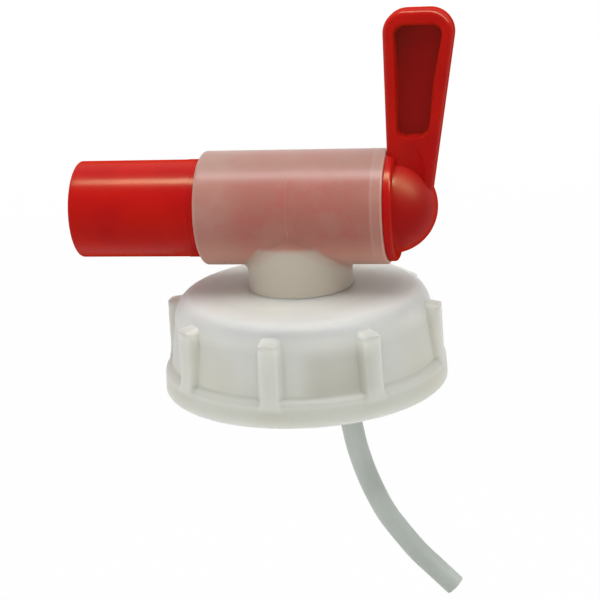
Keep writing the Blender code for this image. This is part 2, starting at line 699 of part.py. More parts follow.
def air_groove_cutter(cutters):
    """Half-round groove in the plug's surface: opened, it leads from the vent duct to the air channel."""
    start = -AIR_GROOVE_OVERLAP
    end = math.pi + AIR_GROOVE_OVERLAP
    outer = STEM_RADIUS + CLEARANCE
    inner = STEM_RADIUS - AIR_GROOVE_DEPTH
    outline = arc((0, 0), outer, start, end, TRACK_STEPS)
    outline += arc((0, 0), inner, end, start, TRACK_STEPS)
    groove = plate("air groove", outline, AIR_GROOVE_WIDTH, cutters)
    groove.matrix_world = across_barrel(AIR_AXIS)
    return groove


def make_partition(cutters):
    """Wall along the bore that parts the air channel from the liquid, closed behind the air port."""
    reach = math.sqrt(STEM_BORE_RADIUS**2 - PARTITION_FACE**2) + AIR_GROOVE_DEPTH
    end_x = AIR_AXIS + AIR_GROOVE_WIDTH
    wall = block(
        "partition",
        (SPOUT_END_X + PARTITION_INSET, -PARTITION_FACE, BARREL_Z - reach),
        (end_x, -PARTITION_FACE + PARTITION_THICKNESS, BARREL_Z + reach),
        cutters,
    )
    stop = block(
        "channel end",
        (end_x - PARTITION_THICKNESS, -STEM_BORE_RADIUS - AIR_GROOVE_DEPTH / 2, BARREL_Z - reach),
        (end_x, -PARTITION_FACE + PARTITION_THICKNESS / 2, BARREL_Z + reach),
        cutters,
    )
    core = cylinder("bore core", STEM_BORE_RADIUS + AIR_GROOVE_DEPTH, SPOUT_LENGTH * 3, cutters)
    lay_along_x(core, BARREL_Z)
    boolean(wall, stop, "UNION")
    boolean(wall, core, "INTERSECT")
    return to_mesh_object(wall, cutters)


def make_stem(parts, cutters, material):
    stem = turned("stem", stem_profile(), parts, STEPS_MEDIUM)
    lay_along_x(stem, BARREL_Z)

    lever = make_lever(cutters)
    ball = arc((0.0, DOME_X), STEM_BORE_RADIUS + CLEARANCE, math.pi / 2, -math.pi / 2, 2 * SECTION_STEPS)
    inside = turned("dome hollow", ball, cutters, STEPS_MEDIUM)
    lay_along_x(inside, BARREL_Z)
    boolean(lever, to_mesh_object(inside, cutters), "DIFFERENCE")
    lever = to_mesh_object(lever, cutters)

    boolean(stem, lever, "UNION")
    boolean(stem, make_lug(cutters), "UNION")
    boolean(stem, make_partition(cutters), "UNION")
    boolean(stem, air_groove_cutter(cutters), "DIFFERENCE")

    sideways = Matrix.Rotation(math.pi / 2, 4, "X")
    port = cylinder("liquid port", LIQUID_PORT_RADIUS, STEM_RADIUS, cutters, STEPS_SMALL)
    port.matrix_world = Matrix.Translation((LIQUID_PORT_X, STEM_RADIUS, BARREL_Z)) @ sideways
    boolean(stem, port, "DIFFERENCE")
    air_port = cylinder("air port", AIR_PORT_RADIUS, STEM_RADIUS - PARTITION_FACE, cutters, STEPS_SMALL)
    air_port.matrix_world = Matrix.Translation((AIR_AXIS, -STEM_RADIUS, BARREL_Z)) @ sideways
    boolean(stem, air_port, "DIFFERENCE")
    stem = to_mesh_object(stem, parts)
    finish(stem, material)
    return stem


def smooth_route(route, spacing):
    """Points at an even spacing along a Catmull-Rom curve through the route."""
    knots = [2 * Vector(route[0]) - Vector(route[1])]
    knots += [Vector(point) for point in route]
    knots.append(2 * knots[-1] - knots[-2])
    fine = []
    for before, start, end, after in zip(knots, knots[1:], knots[2:], knots[3:]):
        for i in range(ROUTE_FINE_STEPS):
            t = i / ROUTE_FINE_STEPS
            fine.append(
                0.5
                * (
                    2 * start
                    + (end - before) * t
                    + (2 * before - 5 * start + 4 * end - after) * t**2
                    + (3 * start - before - 3 * end + after) * t**3
                )
            )
    fine.append(knots[-2])
    lengths = [0.0]
    for first, second in zip(fine, fine[1:]):
        lengths.append(lengths[-1] + (second - first).length)
    count = max(2, round(lengths[-1] / spacing))
    points, place = [], 0
    for i in range(count + 1):
        wanted = lengths[-1] * i / count
        while place < len(fine) - 2 and lengths[place + 1] < wanted:
            place += 1
        span = lengths[place + 1] - lengths[place]
        points.append(fine[place].lerp(fine[place + 1], min(1.0, (wanted - lengths[place]) / span)))
    return points


def make_vent_tube(parts, material):
    curve = bpy.data.curves.new("vent_tube", "CURVE")
    curve.dimensions = "3D"
    curve.bevel_depth = TUBE_RADIUS
    curve.bevel_resolution = 3
    curve.use_fill_caps = True
    points = smooth_route([(x, 0.0, z) for x, z in TUBE_ROUTE], TUBE_RADIUS * TUBE_POINT_SPACING)
    spline = curve.splines.new("POLY")
    spline.points.add(len(points) - 1)
    for point, place in zip(spline.points, points):
        point.co = (*place, 1.0)
    tube = add_object("vent_tube", curve, parts)
    tube.data.materials.append(material)
    return tube


def add_joint_empty(name, location, child):
    """An empty on a joint's axis, which carries the piece that turns with it."""
    empty = add_object(name, None, child.users_collection[0])
    empty.location = location
    empty.empty_display_size = STEM_RADIUS
    bpy.context.view_layer.update()
    child.parent = empty
    child.matrix_parent_inverse = empty.matrix_world.inverted()
    return empty


def main():
    clear_scene()
    parts = make_collection("jerrycan_tap")
    cutters = make_collection("cutters")

    natural = make_material("natural_polyethylene", (0.62, 0.62, 0.58), 0.42, 0.85)
    translucent = make_material("body_polyethylene", (0.62, 0.55, 0.50), 0.38, 0.6)
    red = make_material("red_polypropylene", (0.45, 0.008, 0.01), 0.3)
    foam = make_material("white_foam", (0.78, 0.78, 0.76), 0.75)
    rubber = make_material("dark_rubber", (0.03, 0.03, 0.03), 0.6)
    clear = make_material("tube_polyethylene", (0.42, 0.45, 0.41), 0.4, 0.7)

    make_screw_cap(parts, cutters, natural)
    make_gasket(parts, foam)
    seal = make_neck_seal(parts, rubber)
    body = make_tap_body(parts, cutters, translucent)
    stem = make_stem(parts, cutters, red)
    tube = make_vent_tube(parts, clear)

    swivel = add_joint_empty("swivel_axis", (0.0, 0.0, 0.0), body)
    for piece in (seal, tube):
        piece.parent = swivel
    lever_axis = add_joint_empty("lever_axis", (0.0, 0.0, BARREL_Z), stem)
    lever_axis.parent = swivel


main()
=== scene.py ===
"""Dresses the jerrycan tap: fine surfaces and plastics for its pieces, a studio and the camera.

Metres, +Z up along the can's neck, +X along the barrel towards the lever. The origin is where the
gasket seals on the can.
"""

import math

import bmesh
import bpy
import numpy as np
from mathutils import Matrix, Vector


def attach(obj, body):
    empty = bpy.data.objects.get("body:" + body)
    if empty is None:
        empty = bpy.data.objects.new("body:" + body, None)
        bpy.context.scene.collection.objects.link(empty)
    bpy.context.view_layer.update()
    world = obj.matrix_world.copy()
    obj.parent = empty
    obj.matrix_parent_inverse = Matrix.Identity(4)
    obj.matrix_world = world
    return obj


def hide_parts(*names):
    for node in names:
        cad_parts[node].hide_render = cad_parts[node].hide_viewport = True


bl_info = {
    "name": "Jerrycan tap",
    "version": (1, 0, 0),
    "blender": (4, 5, 0),
    "location": "3D View > Sidebar > Tap",
    "description": "Screw cap, tap body, stem with lever and vent tube of a jerrycan tap",
    "category": "Object",
}

MM = 0.001
WHITE = (1.0, 1.0, 1.0, 1.0)

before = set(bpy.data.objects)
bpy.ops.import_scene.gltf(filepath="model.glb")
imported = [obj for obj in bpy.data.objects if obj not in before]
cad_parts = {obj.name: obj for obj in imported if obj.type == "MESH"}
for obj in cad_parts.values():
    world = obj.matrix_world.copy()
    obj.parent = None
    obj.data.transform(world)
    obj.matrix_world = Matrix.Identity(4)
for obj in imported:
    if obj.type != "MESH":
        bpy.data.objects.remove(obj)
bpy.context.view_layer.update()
COLUMNS_ROUND_BARREL = 160
THREAD_STEPS = 96
TUBE_COLUMNS = 48
SAME_POINT = 2e-7
ARC_STEP = math.radians(9)
STEP_ALONG_BARREL = 1.5 * MM
SMOOTH_LIMIT = math.radians(38)
BEVEL_LIMIT = math.radians(50)

# How far a hidden wall keeps clear of another or sinks into it, and a cutting shape reaches past it.
MARGIN = 0.3 * MM

# The camera's sensor, lens and place, fitted to the photo.
SENSOR_WIDTH = 36.0
LENS = 98.4
CAMERA_PLACE = Matrix(
    (
        (0.9796, -0.0020, 0.2008, 0.0803),
        (0.1919, 0.3035, -0.9333, -0.3761),
        (-0.0590, 0.9528, 0.2977, 0.1211),
        (0.0, 0.0, 0.0, 1.0),
    )
)

# Route of the vent tube in (x, z), from the top of its socket down to its cut end.
TUBE_ROUTE = [
    (7.6, -0.2),
    (7.6, -6.5),
    (7.8, -10.0),
    (8.1, -13.0),
    (8.9, -19.5),
    (9.8, -26.0),
    (10.7, -31.3),
    (12.0, -38.3),
    (14.3, -45.9),
    (18.0, -54.4),
    (22.2, -60.7),
    (26.3, -66.0),
    (30.4, -70.2),
    (35.2, -75.1),
]


def length(name, millimetres, description):
    return bpy.props.FloatProperty(
        name=name, default=millimetres * MM, unit="LENGTH", precision=5, description=description
    )


def three_lengths(name, millimetres, description):
    values = [value * MM for value in millimetres]
    return bpy.props.FloatVectorProperty(
        name=name, default=values, size=3, unit="LENGTH", precision=5, description=description
    )


def angle(name, degrees, description):
    return bpy.props.FloatProperty(
        name=name, default=math.radians(degrees), unit="ROTATION", description=description
    )


def share(name, value, description):
    return bpy.props.FloatProperty(name=name, default=value, description=description)


def colour(name, value, description):
    return bpy.props.FloatVectorProperty(
        name=name, default=value, size=3, subtype="COLOR", min=0.0, max=1.0, description=description
    )


class TapCapSettings(bpy.types.PropertyGroup):
    hole: length("Hole radius", 11.9, "Radius of the hole that the spigot turns in")
    collar: length("Collar radius", 15.3, "Outer radius of the collar round the hole")
    collar_end: length("Collar end", -1.0, "Height of the collar's lower end")
    crown: length("Crown height", 5.5, "Height of the cap's top at its hole")
    disc: length("Disc radius", 21.5, "Radius of the slightly raised disc on the cap's top")
    disc_step: length("Disc step", 0.3, "Height of the disc's edge")
    disc_slope: length("Disc edge width", 2.4, "Width over which the disc's edge falls")
    top_edge: length("Top edge height", 4.5, "Height at which the shoulder begins to fall")
    shoulder_width: length("Shoulder width", 4.7, "How far in from the skirt the shoulder reaches")
    shoulder_height: length("Shoulder height", 6.8, "How far the shoulder falls")
    skirt_top: length("Skirt radius at its top", 31.6, "Outer radius of the skirt below the shoulder")
    skirt_foot: length("Skirt radius at its foot", 33.1, "Outer radius of the skirt above the ledge")
    ledge: length("Ledge height", -12.3, "Height at which the skirt flares into the rim band")
    rim: length("Rim radius", 35.0, "Outer radius of the rim band")
    rim_top: length("Rim top", -13.3, "Height of the rim band's upper edge")
    foot: length("Rim foot", -19.0, "Height of the cap's lower edge")
    thread_root: length("Thread root radius", 30.5, "Inner radius of the skirt between the thread's turns")
    seat: length("Seat radius", 28.9, "Radius of the recess that holds the gasket")
    seat_height: length("Seat height", 2.3, "Height of the underside that the gasket lies against")
    thread_depth: length("Thread depth", 1.3, "How far the thread's ridge stands in")
    thread_pitch: length("Thread pitch", 6.0, "Rise of the thread in one turn")
    thread_turns: share("Thread turns", 2.0, "Number of turns of the thread's ridge")
    thread_start: length("Thread start", -16.4, "Height of the thread's lower end")
    thread_crest: length("Thread crest", 1.0, "Width of the ridge at its crest")
    thread_run_out: share("Thread run-out", 0.05, "Share of the ridge in which each end thins out")
    thread_base: length("Thread base", 2.8, "Width of the ridge at its foot")
    rib_width: length("Rib width", 5.0, "Width of a grip rib")
    rib_fillet: length("Rib fillet", 1.8, "How softly a rib's sides run into the skirt")
    rib_flare: length("Rib flare", 0.45, "How far a rib's foot flares out to the rim band")
    rib_spacing: angle("Rib spacing", 42.0, "Angle between neighbouring ribs of the front and of the back")
    rib_turn: angle("Rib turn", -3.0, "Angle of the first rib from +X")
    rib_low: length("Rib radius at its foot", 34.55, "Radius of a rib's outer face at the rim band")
    rib_high: length("Rib radius at its top", 34.25, "Radius of a rib's outer face at its top")
    rib_top: length("Rib top", 1.7, "Height of a rib's top")
    rib_round: length("Rib top rounding", 1.5, "Rounding of a rib's top edge")
    body: colour("Plastic", (0.58, 0.59, 0.55), "Colour of the natural plastic where it is thin")
    warm: colour("Warm plastic", (0.58, 0.57, 0.51), "Colour of its warmer patches and of the top")
    # Painted light in part: the ribs and the shoulder take this paler colour, for light scattered in the
    # ribs' bulk and for the shoulder's lit side.
    thick_and_lit: colour("Thick plastic", (0.69, 0.70, 0.655), "Colour of the natural plastic in ribs and edges")
    # Painted shade: a grey patch on the front of the skirt, for its shaded inside showing through.
    hollow: colour("Hollow plastic", (0.45, 0.445, 0.40), "Colour of the skirt where its inside shows")
    # Painted shade: the rib tops and the ledge are darkened to offset the light on upward faces.
    upward_shade: colour("Upward plastic", (0.40, 0.405, 0.375), "Colour of the rib tops and the ledge")


class TapBodySettings(bpy.types.PropertyGroup):
    axis_height: length("Axis height", 24.7, "Height of the barrel's axis")
    radius: length("Barrel radius", 13.85, "Outer radius of the barrel")
    bore: length("Barrel bore", 12.15, "Radius of the bore that the stem turns in")
    left: length("Left end", -22.6, "Place of the barrel's end at the spout")
    right: length("Right end", 22.68, "Place of the barrel's end at the lever")
    edge: length("Edge rounding", 0.9, "Rounding of the barrel's ends")
    snap: length("Snap groove place", 19.2, "Place of the groove for the stem's snap ring")
    ring: length("Ring place", 20.1, "Place of the pale ring near the barrel's right end")
    snap_half: length("Snap groove half width", 0.8, "Half the width of the snap groove")
    snap_depth: length("Snap groove depth", 0.55, "Depth of the snap groove")
    neck: length("Neck radius", 12.8, "Outer radius of the neck")
    neck_foot: length("Neck foot", 5.5, "Height of the neck's shoulder on the cap")
    fillet: length("Neck fillet", 1.5, "Rounding where the neck meets the barrel")
    spigot: length("Spigot radius", 11.6, "Radius of the spigot in the cap's hole")
    spigot_end: length("Spigot end", -8.5, "Height of the spigot's lower end")
    seal: length("Seal height", 2.0, "Height of the seal ring's groove")
    seal_half: length("Seal groove half height", 0.95, "Half the height of the seal's groove")
    seal_floor: length("Seal groove radius", 10.0, "Radius of the seal groove's floor")
    bead_top: length("Bead top", -1.3, "Height of the snap bead's upper face")
    bead: length("Bead radius", 12.6, "Radius of the snap bead under the collar")
    bead_height: length("Bead height", 1.8, "Height of the snap bead")
    passage: length("Passage radius", 8.2, "Radius of the liquid passage")
    passage_centre: length("Passage centre", -1.0, "Place of the liquid passage's centre")
    passage_flat: length("Passage flat", 3.6, "Place of the liquid passage's flat side")
    duct: length("Air duct radius", 1.6, "Radius of the air duct")
    duct_place: length("Air duct place", 7.6, "Distance of the air duct from the cap's axis")
    socket: length("Socket radius", 3.0, "Radius of the socket for the vent tube")
    socket_top: length("Socket top", 0.1, "Height of the socket's roof")
    plain: colour("Plastic", (0.585, 0.525, 0.44), "Colour of the natural plastic of the neck")
    tinted: colour("Tinted plastic", (0.41, 0.155, 0.12), "Colour of the barrel over the red stem")
    ruddy: colour("Ruddy plastic", (0.43, 0.135, 0.108), "Colour of the barrel's redder clouds")
    milky: colour("Milky plastic", (0.47, 0.25, 0.205), "Colour of the barrel in its rings and paler clouds")
    # Painted shade and sheen: the barrel's top is made greyer and less red, against the light from above.
    top_shade_and_sheen: colour("Greyed plastic", (0.35, 0.26, 0.215), "Colour of the barrel's top")
    # Painted light: the barrel's underside and its right end are made paler, as if lit through the plastic.
    painted_light: colour("Glowing plastic", (0.60, 0.315, 0.235), "Colour of the barrel's underside")


class TapStemSettings(bpy.types.PropertyGroup):
    radius: length("Stem radius", 11.85, "Outer radius of the spout and plug")
    bore: length("Stem bore", 9.2, "Radius of the spout's bore")
    spout_end: length("Spout end", -54.0, "Place of the spout's open end")
    spout_edge: length("Spout edge", 0.4, "Rounding of the spout's rim")
    collar_from: length("Collar start", -26.5, "Place where the spout grows a little towards the barrel")
    collar_proud: length("Collar height", 0.07, "How much the spout grows there")
    snap: length("Snap ring radius", 12.4, "Radius of the snap ring")
    flange: length("Flange radius", 13.15, "Radius of the flange beside the barrel")
    flange_left: length("Flange left", 22.7, "Place of the flange's face at the barrel")
    flange_right: length("Flange right", 24.7, "Place of the flange's outer face")
    flange_edge: length("Flange edge", 0.7, "Rounding of the flange's outer edge")
    dome: length("Dome radius", 11.3, "Radius of the dome that closes the stem")
    dome_place: length("Dome centre", 22.9, "Place of the dome's centre")
    channel: length("Channel face", 6.2, "Distance of the air channel's wall from the axis")
    channel_wall: length("Channel wall", 1.2, "Thickness of the air channel's wall")
    groove_width: length("Groove width", 3.0, "Width of the air groove in the plug")
    groove_depth: length("Groove depth", 1.2, "Depth of the air groove in the plug")
    port: length("Port radius", 5.6, "Radius of the liquid port in the plug")
    port_place: length("Port place", -2.8, "Place of the liquid port along the plug")
    air_port: length("Air port radius", 1.4, "Radius of the air port in the plug")
    lever_height: length("Lever height", 46.8, "Height of the lever above the barrel's axis")
    lever_thickness: length("Lever thickness", 6.4, "Thickness of the lever")
    lever_foot: length("Lever foot width", 9.85, "Width of the lever at the axis")
    lever_top: length("Lever top width", 17.8, "Width of the lever at its top")
    lever_lean: length("Lever lean", 0.3, "How far the lever's left side leans to the right")
    lever_corner: length("Lever corners", 5.6, "Rounding of the lever's top corners")
    lever_edge: length("Lever edges", 1.6, "Rounding of the lever's long edges")
    pocket_foot: length("Pocket foot", 16.9, "Height of the pocket's lower end above the axis")
    pocket_wall: length("Pocket side walls", 2.6, "Width of the walls beside the pocket")
    pocket_top: length("Pocket top wall", 3.1, "Width of the wall above the pocket")
    pocket_depth: length("Pocket depth", 2.2, "Depth of the pocket in each face")
    pocket_corner: length("Pocket corners", 2.4, "Rounding of the pocket's corners")
    pocket_draft: length("Pocket draft", 0.8, "How much narrower the pocket is at its floor")
    web_place: three_lengths(
        "Hollow place", (28.6, 1.3, 8.5), "Middle of the ball that hollows the lever under its pocket"
    )
    web_size: three_lengths("Hollow size", (4.2, 2.0, 10.0), "Half sizes of that ball")
    plastic: colour("Plastic", (0.51, 0.006, 0.005), "Colour of the red plastic")
    cloudy: colour("Cloudy plastic", (0.44, 0.003, 0.006), "Colour of the red plastic's darker clouds")
    # Painted shade: the lever's pockets and the dome's lower part take this darker red.
    thin: colour("Thin plastic", (0.27, 0.002, 0.005), "Colour of the red plastic in the lever's pockets")
    # Painted shade, darker still, in the pockets' upper left corners.
    corner_shade: colour("Deep plastic", (0.15, 0.003, 0.004), "Its colour in their upper left corners")
    rim: colour("Rim sheen", (0.50, 0.020, 0.008), "Colour of the red plastic where it turns away")


class TapTubeSettings(bpy.types.PropertyGroup):
    radius: length("Tube radius", 2.7, "Outer radius of the vent tube")
    wall: length("Tube wall", 1.0, "Wall of the vent tube")
    plastic: colour("Plastic", (0.62, 0.665, 0.62), "Colour of the tube")
    # Its darker stretches come at random; its darkening towards the cut end is painted shade.
    cloudy: colour("Cloudy plastic", (0.465, 0.505, 0.465), "Colour of its darker stretches and its end")


class TapSealSettings(bpy.types.PropertyGroup):
    foam: colour("Foam", (0.62, 0.62, 0.6), "Colour of the gasket's foam")
    cells: colour("Foam cells", (0.8, 0.8, 0.78), "Colour of the foam's paler cells")
    rubber: colour("Rubber", (0.025, 0.025, 0.026), "Colour of the seal ring's rubber")
    dust: colour("Dust", (0.06, 0.06, 0.06), "Colour of the dust on that rubber")


class TapStageSettings(bpy.types.PropertyGroup):
    floor: length("Floor height", -125.0, "Height of the floor below the gasket")
    backdrop: colour("Floor colour", (0.8, 0.8, 0.8), "Colour of the floor")
    overhead: share("Overhead lamp", 6.8, "Power of the soft lamp above, in watts")
    strip: share("Strip lamp", 46.0, "Power of the lamp that only shows as a highlight, in watts")
    left: share("Left lamp", 0.5, "Power of the lamp on the left, in watts")
    back: share("Back lamp", 0.8, "Power of the lamp at the back, in watts")
    surroundings: share("Surroundings", 0.58, "Strength of the light from all round")


class Wire:
    """An output socket that can stand in an expression: each operator adds a Math node."""

    def __init__(self, sheet, socket):
        self.sheet = sheet
        self.socket = socket

    def maths(self, operation, *values):
        return self.sheet.maths(operation, self, *values)

    def __add__(self, other):
        return self.maths("ADD", other)

    def __sub__(self, other):
        return self.maths("SUBTRACT", other)

    def __rsub__(self, other):
        return self.sheet.maths("SUBTRACT", other, self)

    def __mul__(self, other):
        return self.maths("MULTIPLY", other)

    def __truediv__(self, other):
        return self.maths("DIVIDE", other)

    def __pow__(self, other):
        return self.maths("POWER", other)

    __radd__ = __add__
    __rmul__ = __mul__

    def smaller(self, other):
        return self.maths("MINIMUM", other)

    def larger(self, other):
        return self.maths("MAXIMUM", other)

    def size(self):
        return self.maths("ABSOLUTE")

    def root(self):
        return self.maths("SQRT")

    def fade(self, start, end):
        """0 at start and before, 1 at end and beyond, with a smooth step between."""
        sockets = {"Value": self, "From Min": start, "From Max": end}
        return self.sheet.add("ShaderNodeMapRange", {"interpolation_type": "SMOOTHSTEP"}, sockets)

    def band(self, middle, half, soft):
        """1 within half of the middle, fading out over a soft edge."""
        return (self - middle).size().fade(half + soft, half)


class Sheet:
    """A node tree, written as expressions."""

    def __init__(self, tree):
        self.tree = tree

    def add(self, kind, settings=None, sockets=None, output=0):
        node = self.tree.nodes.new(kind)
        for name, value in (settings or {}).items():
            setattr(node, name, value)
        for key, value in (sockets or {}).items():
            socket = node.inputs[key]
            if isinstance(value, (Wire, list)):
                for wire in value if isinstance(value, list) else [value]:
                    self.tree.links.new(wire.socket, socket)
            else:
                socket.default_value = value
        return Wire(self, node.outputs[output]) if node.outputs else None

    def outputs(self, kind, sockets=None):
        """Every output of a new node."""
        node = self.add(kind, None, sockets).socket.node
        return [Wire(self, socket) for socket in node.outputs]

    def parts(self, vector):
        """The three numbers of a vector."""
        return self.outputs("ShaderNodeSeparateXYZ", {0: vector})

    def maths(self, operation, *values):
        return self.add("ShaderNodeMath", {"operation": operation}, dict(enumerate(values)))

    def layered(self, tone, *layers):
        """A colour with others laid over it in turn, each given as (how much, colour)."""
        for amount, coat in layers:
            first, second = (value if isinstance(value, Wire) else opaque(value) for value in (tone, coat))
            tone = self.add("ShaderNodeMix", {"data_type": "RGBA"}, {0: amount, 6: first, 7: second}, 2)
        return tone

    def noise(self, place, scale, detail=2.0, roughness=0.5):
        sockets = {"Vector": place, "Scale": scale, "Detail": detail, "Roughness": roughness}
        return self.add("ShaderNodeTexNoise", None, sockets)

    def bump(self, relief, height, strength):
        return self.add("ShaderNodeBump", None, {"Strength": strength, "Distance": height, "Height": relief})

    def grain(self, place, scale, height, strength):
        """A normal for the fine orange-peel texture of moulded plastic."""
        return self.bump(self.noise(place, scale, 3.0, 0.6), height, strength)

    def place(self):
        return self.add("ShaderNodeTexCoord", None, None, "Object")

    def mixed_shaders(self, factor, first, second):
        return self.add("ShaderNodeMixShader", None, {0: factor, 1: first, 2: second})


def opaque(value):
    return (*value, 1.0)


def blank_sheet(owner):
    """The node tree of a material or world, emptied."""
    owner.use_nodes = True
    owner.node_tree.nodes.clear()
    return Sheet(owner.node_tree)


def new_plastic(name, finish, look, rim=None):
    """A material whose Principled shader takes the sockets that finish(sheet, place, look) gives.

    With a colour for its rim, the gloss gives way to that colour's sheen where the surface turns away.
    """
    material = bpy.data.materials.new(name)
    sheet = blank_sheet(material)
    shader = sheet.add("ShaderNodeBsdfPrincipled", None, finish(sheet, sheet.place(), look))
    if rim:
        facing = sheet.add("ShaderNodeLayerWeight", None, {"Blend": 0.5}, "Facing")
        plain = {"Base Color": opaque(rim), "Roughness": 0.6, "Specular IOR Level": 0.0}
        plain = sheet.add("ShaderNodeBsdfPrincipled", None, plain)
        shader = sheet.mixed_shaders(facing.fade(0.35, 0.8), shader, plain)
    sheet.add("ShaderNodeOutputMaterial", None, {"Surface": shader})
    return material


def cap_finish(sheet, place, look):
    """Natural plastic, paler in the ribs and on the shoulder partly as painted light, with painted shade on
    the rib tops and the ledge, and a grey patch of painted shade on the front of the skirt, where its inside
    shows.
    """
    x, y, z = sheet.parts(place)
    reach = (x * x + y * y).root()
    clouds = sheet.noise(place, 55.0, 3.0, 0.55)
    flow = sheet.noise(place, 420.0, 2.0)
    patches = sheet.noise(place, 38.0, 1.0)
    rib = sheet.add("ShaderNodeAttribute", {"attribute_name": "rib"}, None, "Fac")
    # Painted light: the shoulder, like the ribs, takes the paler colour of its lit side.
    shoulder = reach.fade(look.disc - 1 * MM, look.disc + 5 * MM) * z.fade(-3 * MM, 0.5 * MM)
    # Painted shade on the rib tops and on the ledge, where upward faces catch the light.
    crest = rib * z.fade(look.rib_top - 2.6 * MM, look.rib_top - 0.4 * MM)
    ledge = z.band((look.ledge + look.rim_top) / 2, 0.5 * MM, 0.9 * MM) * (1.0 - rib)
    # Painted shade: a fixed grey patch on the front of the skirt.
    hollow = x.band(13.5 * MM, 4 * MM, 6 * MM) * y.fade(0.0, -20 * MM) * z.band(-7.5 * MM, 3 * MM, 4 * MM)
    tone = sheet.layered(
        look.body,
        (patches.fade(0.42, 0.62), look.warm),
        (z.fade(look.top_edge - 0.4 * MM, look.top_edge + 0.2 * MM), look.warm),
        (rib.larger(shoulder) * 0.45, look.thick_and_lit),
        (clouds.fade(0.38, 0.68) * 0.35, [0.93 * value for value in look.body]),
        (hollow * 0.8, look.hollow),
        (crest * 0.9 + ledge * 0.55, look.upward_shade),
    )
    return {
        "Base Color": tone,
        "Roughness": 0.42 + flow * 0.12,
        "Subsurface Weight": 1.0,
        "Subsurface Radius": (1.0, 0.97, 0.85),
        "Subsurface Scale": 10 * MM,
        "Specular IOR Level": 0.12,
        "Normal": sheet.grain(place, 900.0, 0.12 * MM, 0.2),
    }


def body_finish(sheet, place, look):
    """Natural plastic, reddened on the barrel by the stem in it, with a seam and a tick in its middle,
    painted shade and sheen on its top, and painted light on its underside and right end.
    """
    x, y, z = sheet.parts(place)
    rise = z - look.axis_height
    front = y.fade(0.0, -4 * MM)
    reach = (y * y + rise * rise).root()
    saddle = (rise + ((x + 0.5 * MM).size() - 7 * MM).larger(0.0)).fade(-6.6 * MM, -8.6 * MM)
    on_barrel = reach.fade(look.radius + 2 * MM, look.radius + 0.5 * MM) * (1.0 - saddle * front * 0.7)
    clouds = sheet.noise(place, 95.0, 3.0, 0.6)
    veil = sheet.noise(place, 34.0, 1.0)
    blush = sheet.noise(place, 150.0, 4.0, 0.65)
    ring = x.band(look.ring, 0.1 * MM, 0.4 * MM) * 0.6 + x.fade(look.ring, look.ring + 0.3 * MM) * 0.45
    rim = x.fade(look.left + 1.4 * MM, look.left)
    pale = x.fade(-6 * MM, -21 * MM) * 0.5 + ring + rim * 0.4 + clouds.fade(0.48, 0.72) * 0.3
    seam = x.band(0.0, 0.04 * MM, 0.12 * MM)
    tick = x.band(0.2 * MM, 0.1 * MM, 0.2 * MM) * z.band(21.5 * MM, 0.5 * MM, 0.6 * MM) * front
    tint = sheet.layered(
        look.tinted,
        (blush.fade(0.4, 0.66), look.ruddy),
        ((pale + veil.fade(0.5, 0.75) * 0.2).smaller(1.0), look.milky),
        # Painted shade and sheen on the barrel's top.
        (rise.fade(8 * MM, 12.5 * MM) * 0.5, look.top_shade_and_sheen),
        # Painted light on the barrel's underside, and at its right end over the shaded gap by the flange.
        (rise.fade(-3 * MM, -12 * MM) * 0.75, look.painted_light),
        (x.fade(look.right - 0.6 * MM, look.right - 0.1 * MM) * 0.9, look.painted_light),
    )
    marks = on_barrel * (seam * 0.25 + tick * 0.6)
    relief = sheet.noise(place, 700.0, 3.0, 0.6) * 0.5 + seam * 1.5 + tick * 4.0
    return {
        "Base Color": sheet.layered(look.plain, (on_barrel, tint), (marks, look.milky)),
        "Roughness": 0.28 + clouds * 0.12,
        "Subsurface Weight": 0.2,
        "Subsurface Radius": (1.0, 0.7, 0.6),
        "Subsurface Scale": 1.2 * MM,
        "Specular IOR Level": 0.1,
        "Sheen Weight": 0.2,
        "Sheen Roughness": 0.5,
        "Normal": sheet.bump(relief, 0.12 * MM, 0.3),
    }


def stem_finish(sheet, place, look):
    """Glossy red plastic, with painted shade in the lever's pockets and low on the dome."""
    x, y, z = sheet.parts(place)
    rise = z - bpy.context.scene.tap_body.axis_height
    clouds = sheet.noise(place, 70.0, 2.0, 0.5)
    flow = sheet.noise(place, 300.0, 3.0, 0.6)
    left = look.flange_left + look.pocket_wall
    right = rise * ((look.lever_top - look.lever_foot) / look.lever_height)
    right = right + (look.flange_left + look.lever_foot - look.pocket_wall)
    top = look.lever_height - look.pocket_top
    half = look.lever_thickness / 2
    # Painted shade: masks of the lever's pockets and of the dome's lower part.
    pocket = x.fade(left - 0.9 * MM, left + 0.3 * MM) * (right - x).fade(-0.9 * MM, 0.3 * MM)
    pocket = pocket * rise.fade(look.dome - 1 * MM, look.dome + 3 * MM) * rise.fade(top + 0.8 * MM, top)
    pocket = pocket * y.size().fade(half - 0.2 * MM, half - look.pocket_depth + 0.3 * MM)
    # Painted shade in the pockets' upper left corners.
    corner = pocket * rise.fade(22 * MM, 44 * MM) * x.fade(36 * MM, 26 * MM)
    dome = x.fade(look.flange_right - 0.4 * MM, look.flange_right + 1.4 * MM)
    rounded = dome * rise.fade(look.dome + 1 * MM, look.dome)
    shaded = dome * rise.fade(look.dome + 0.2 * MM, look.dome * 0.3) * 0.6
    tone = sheet.layered(
        look.plastic,
        (clouds.fade(0.35, 0.7), look.cloudy),
        (pocket.larger(shaded), look.thin),
        (corner * 0.6, look.corner_shade),
    )
    return {
        "Base Color": tone,
        "Roughness": 0.18 + flow * 0.1 + rounded * 0.22,
        "Specular IOR Level": 0.16,
        "Specular Tint": (0.5, 0.55, 0.26, 1.0),
        "Normal": sheet.grain(place, 620.0, 0.09 * MM, 0.2),
    }


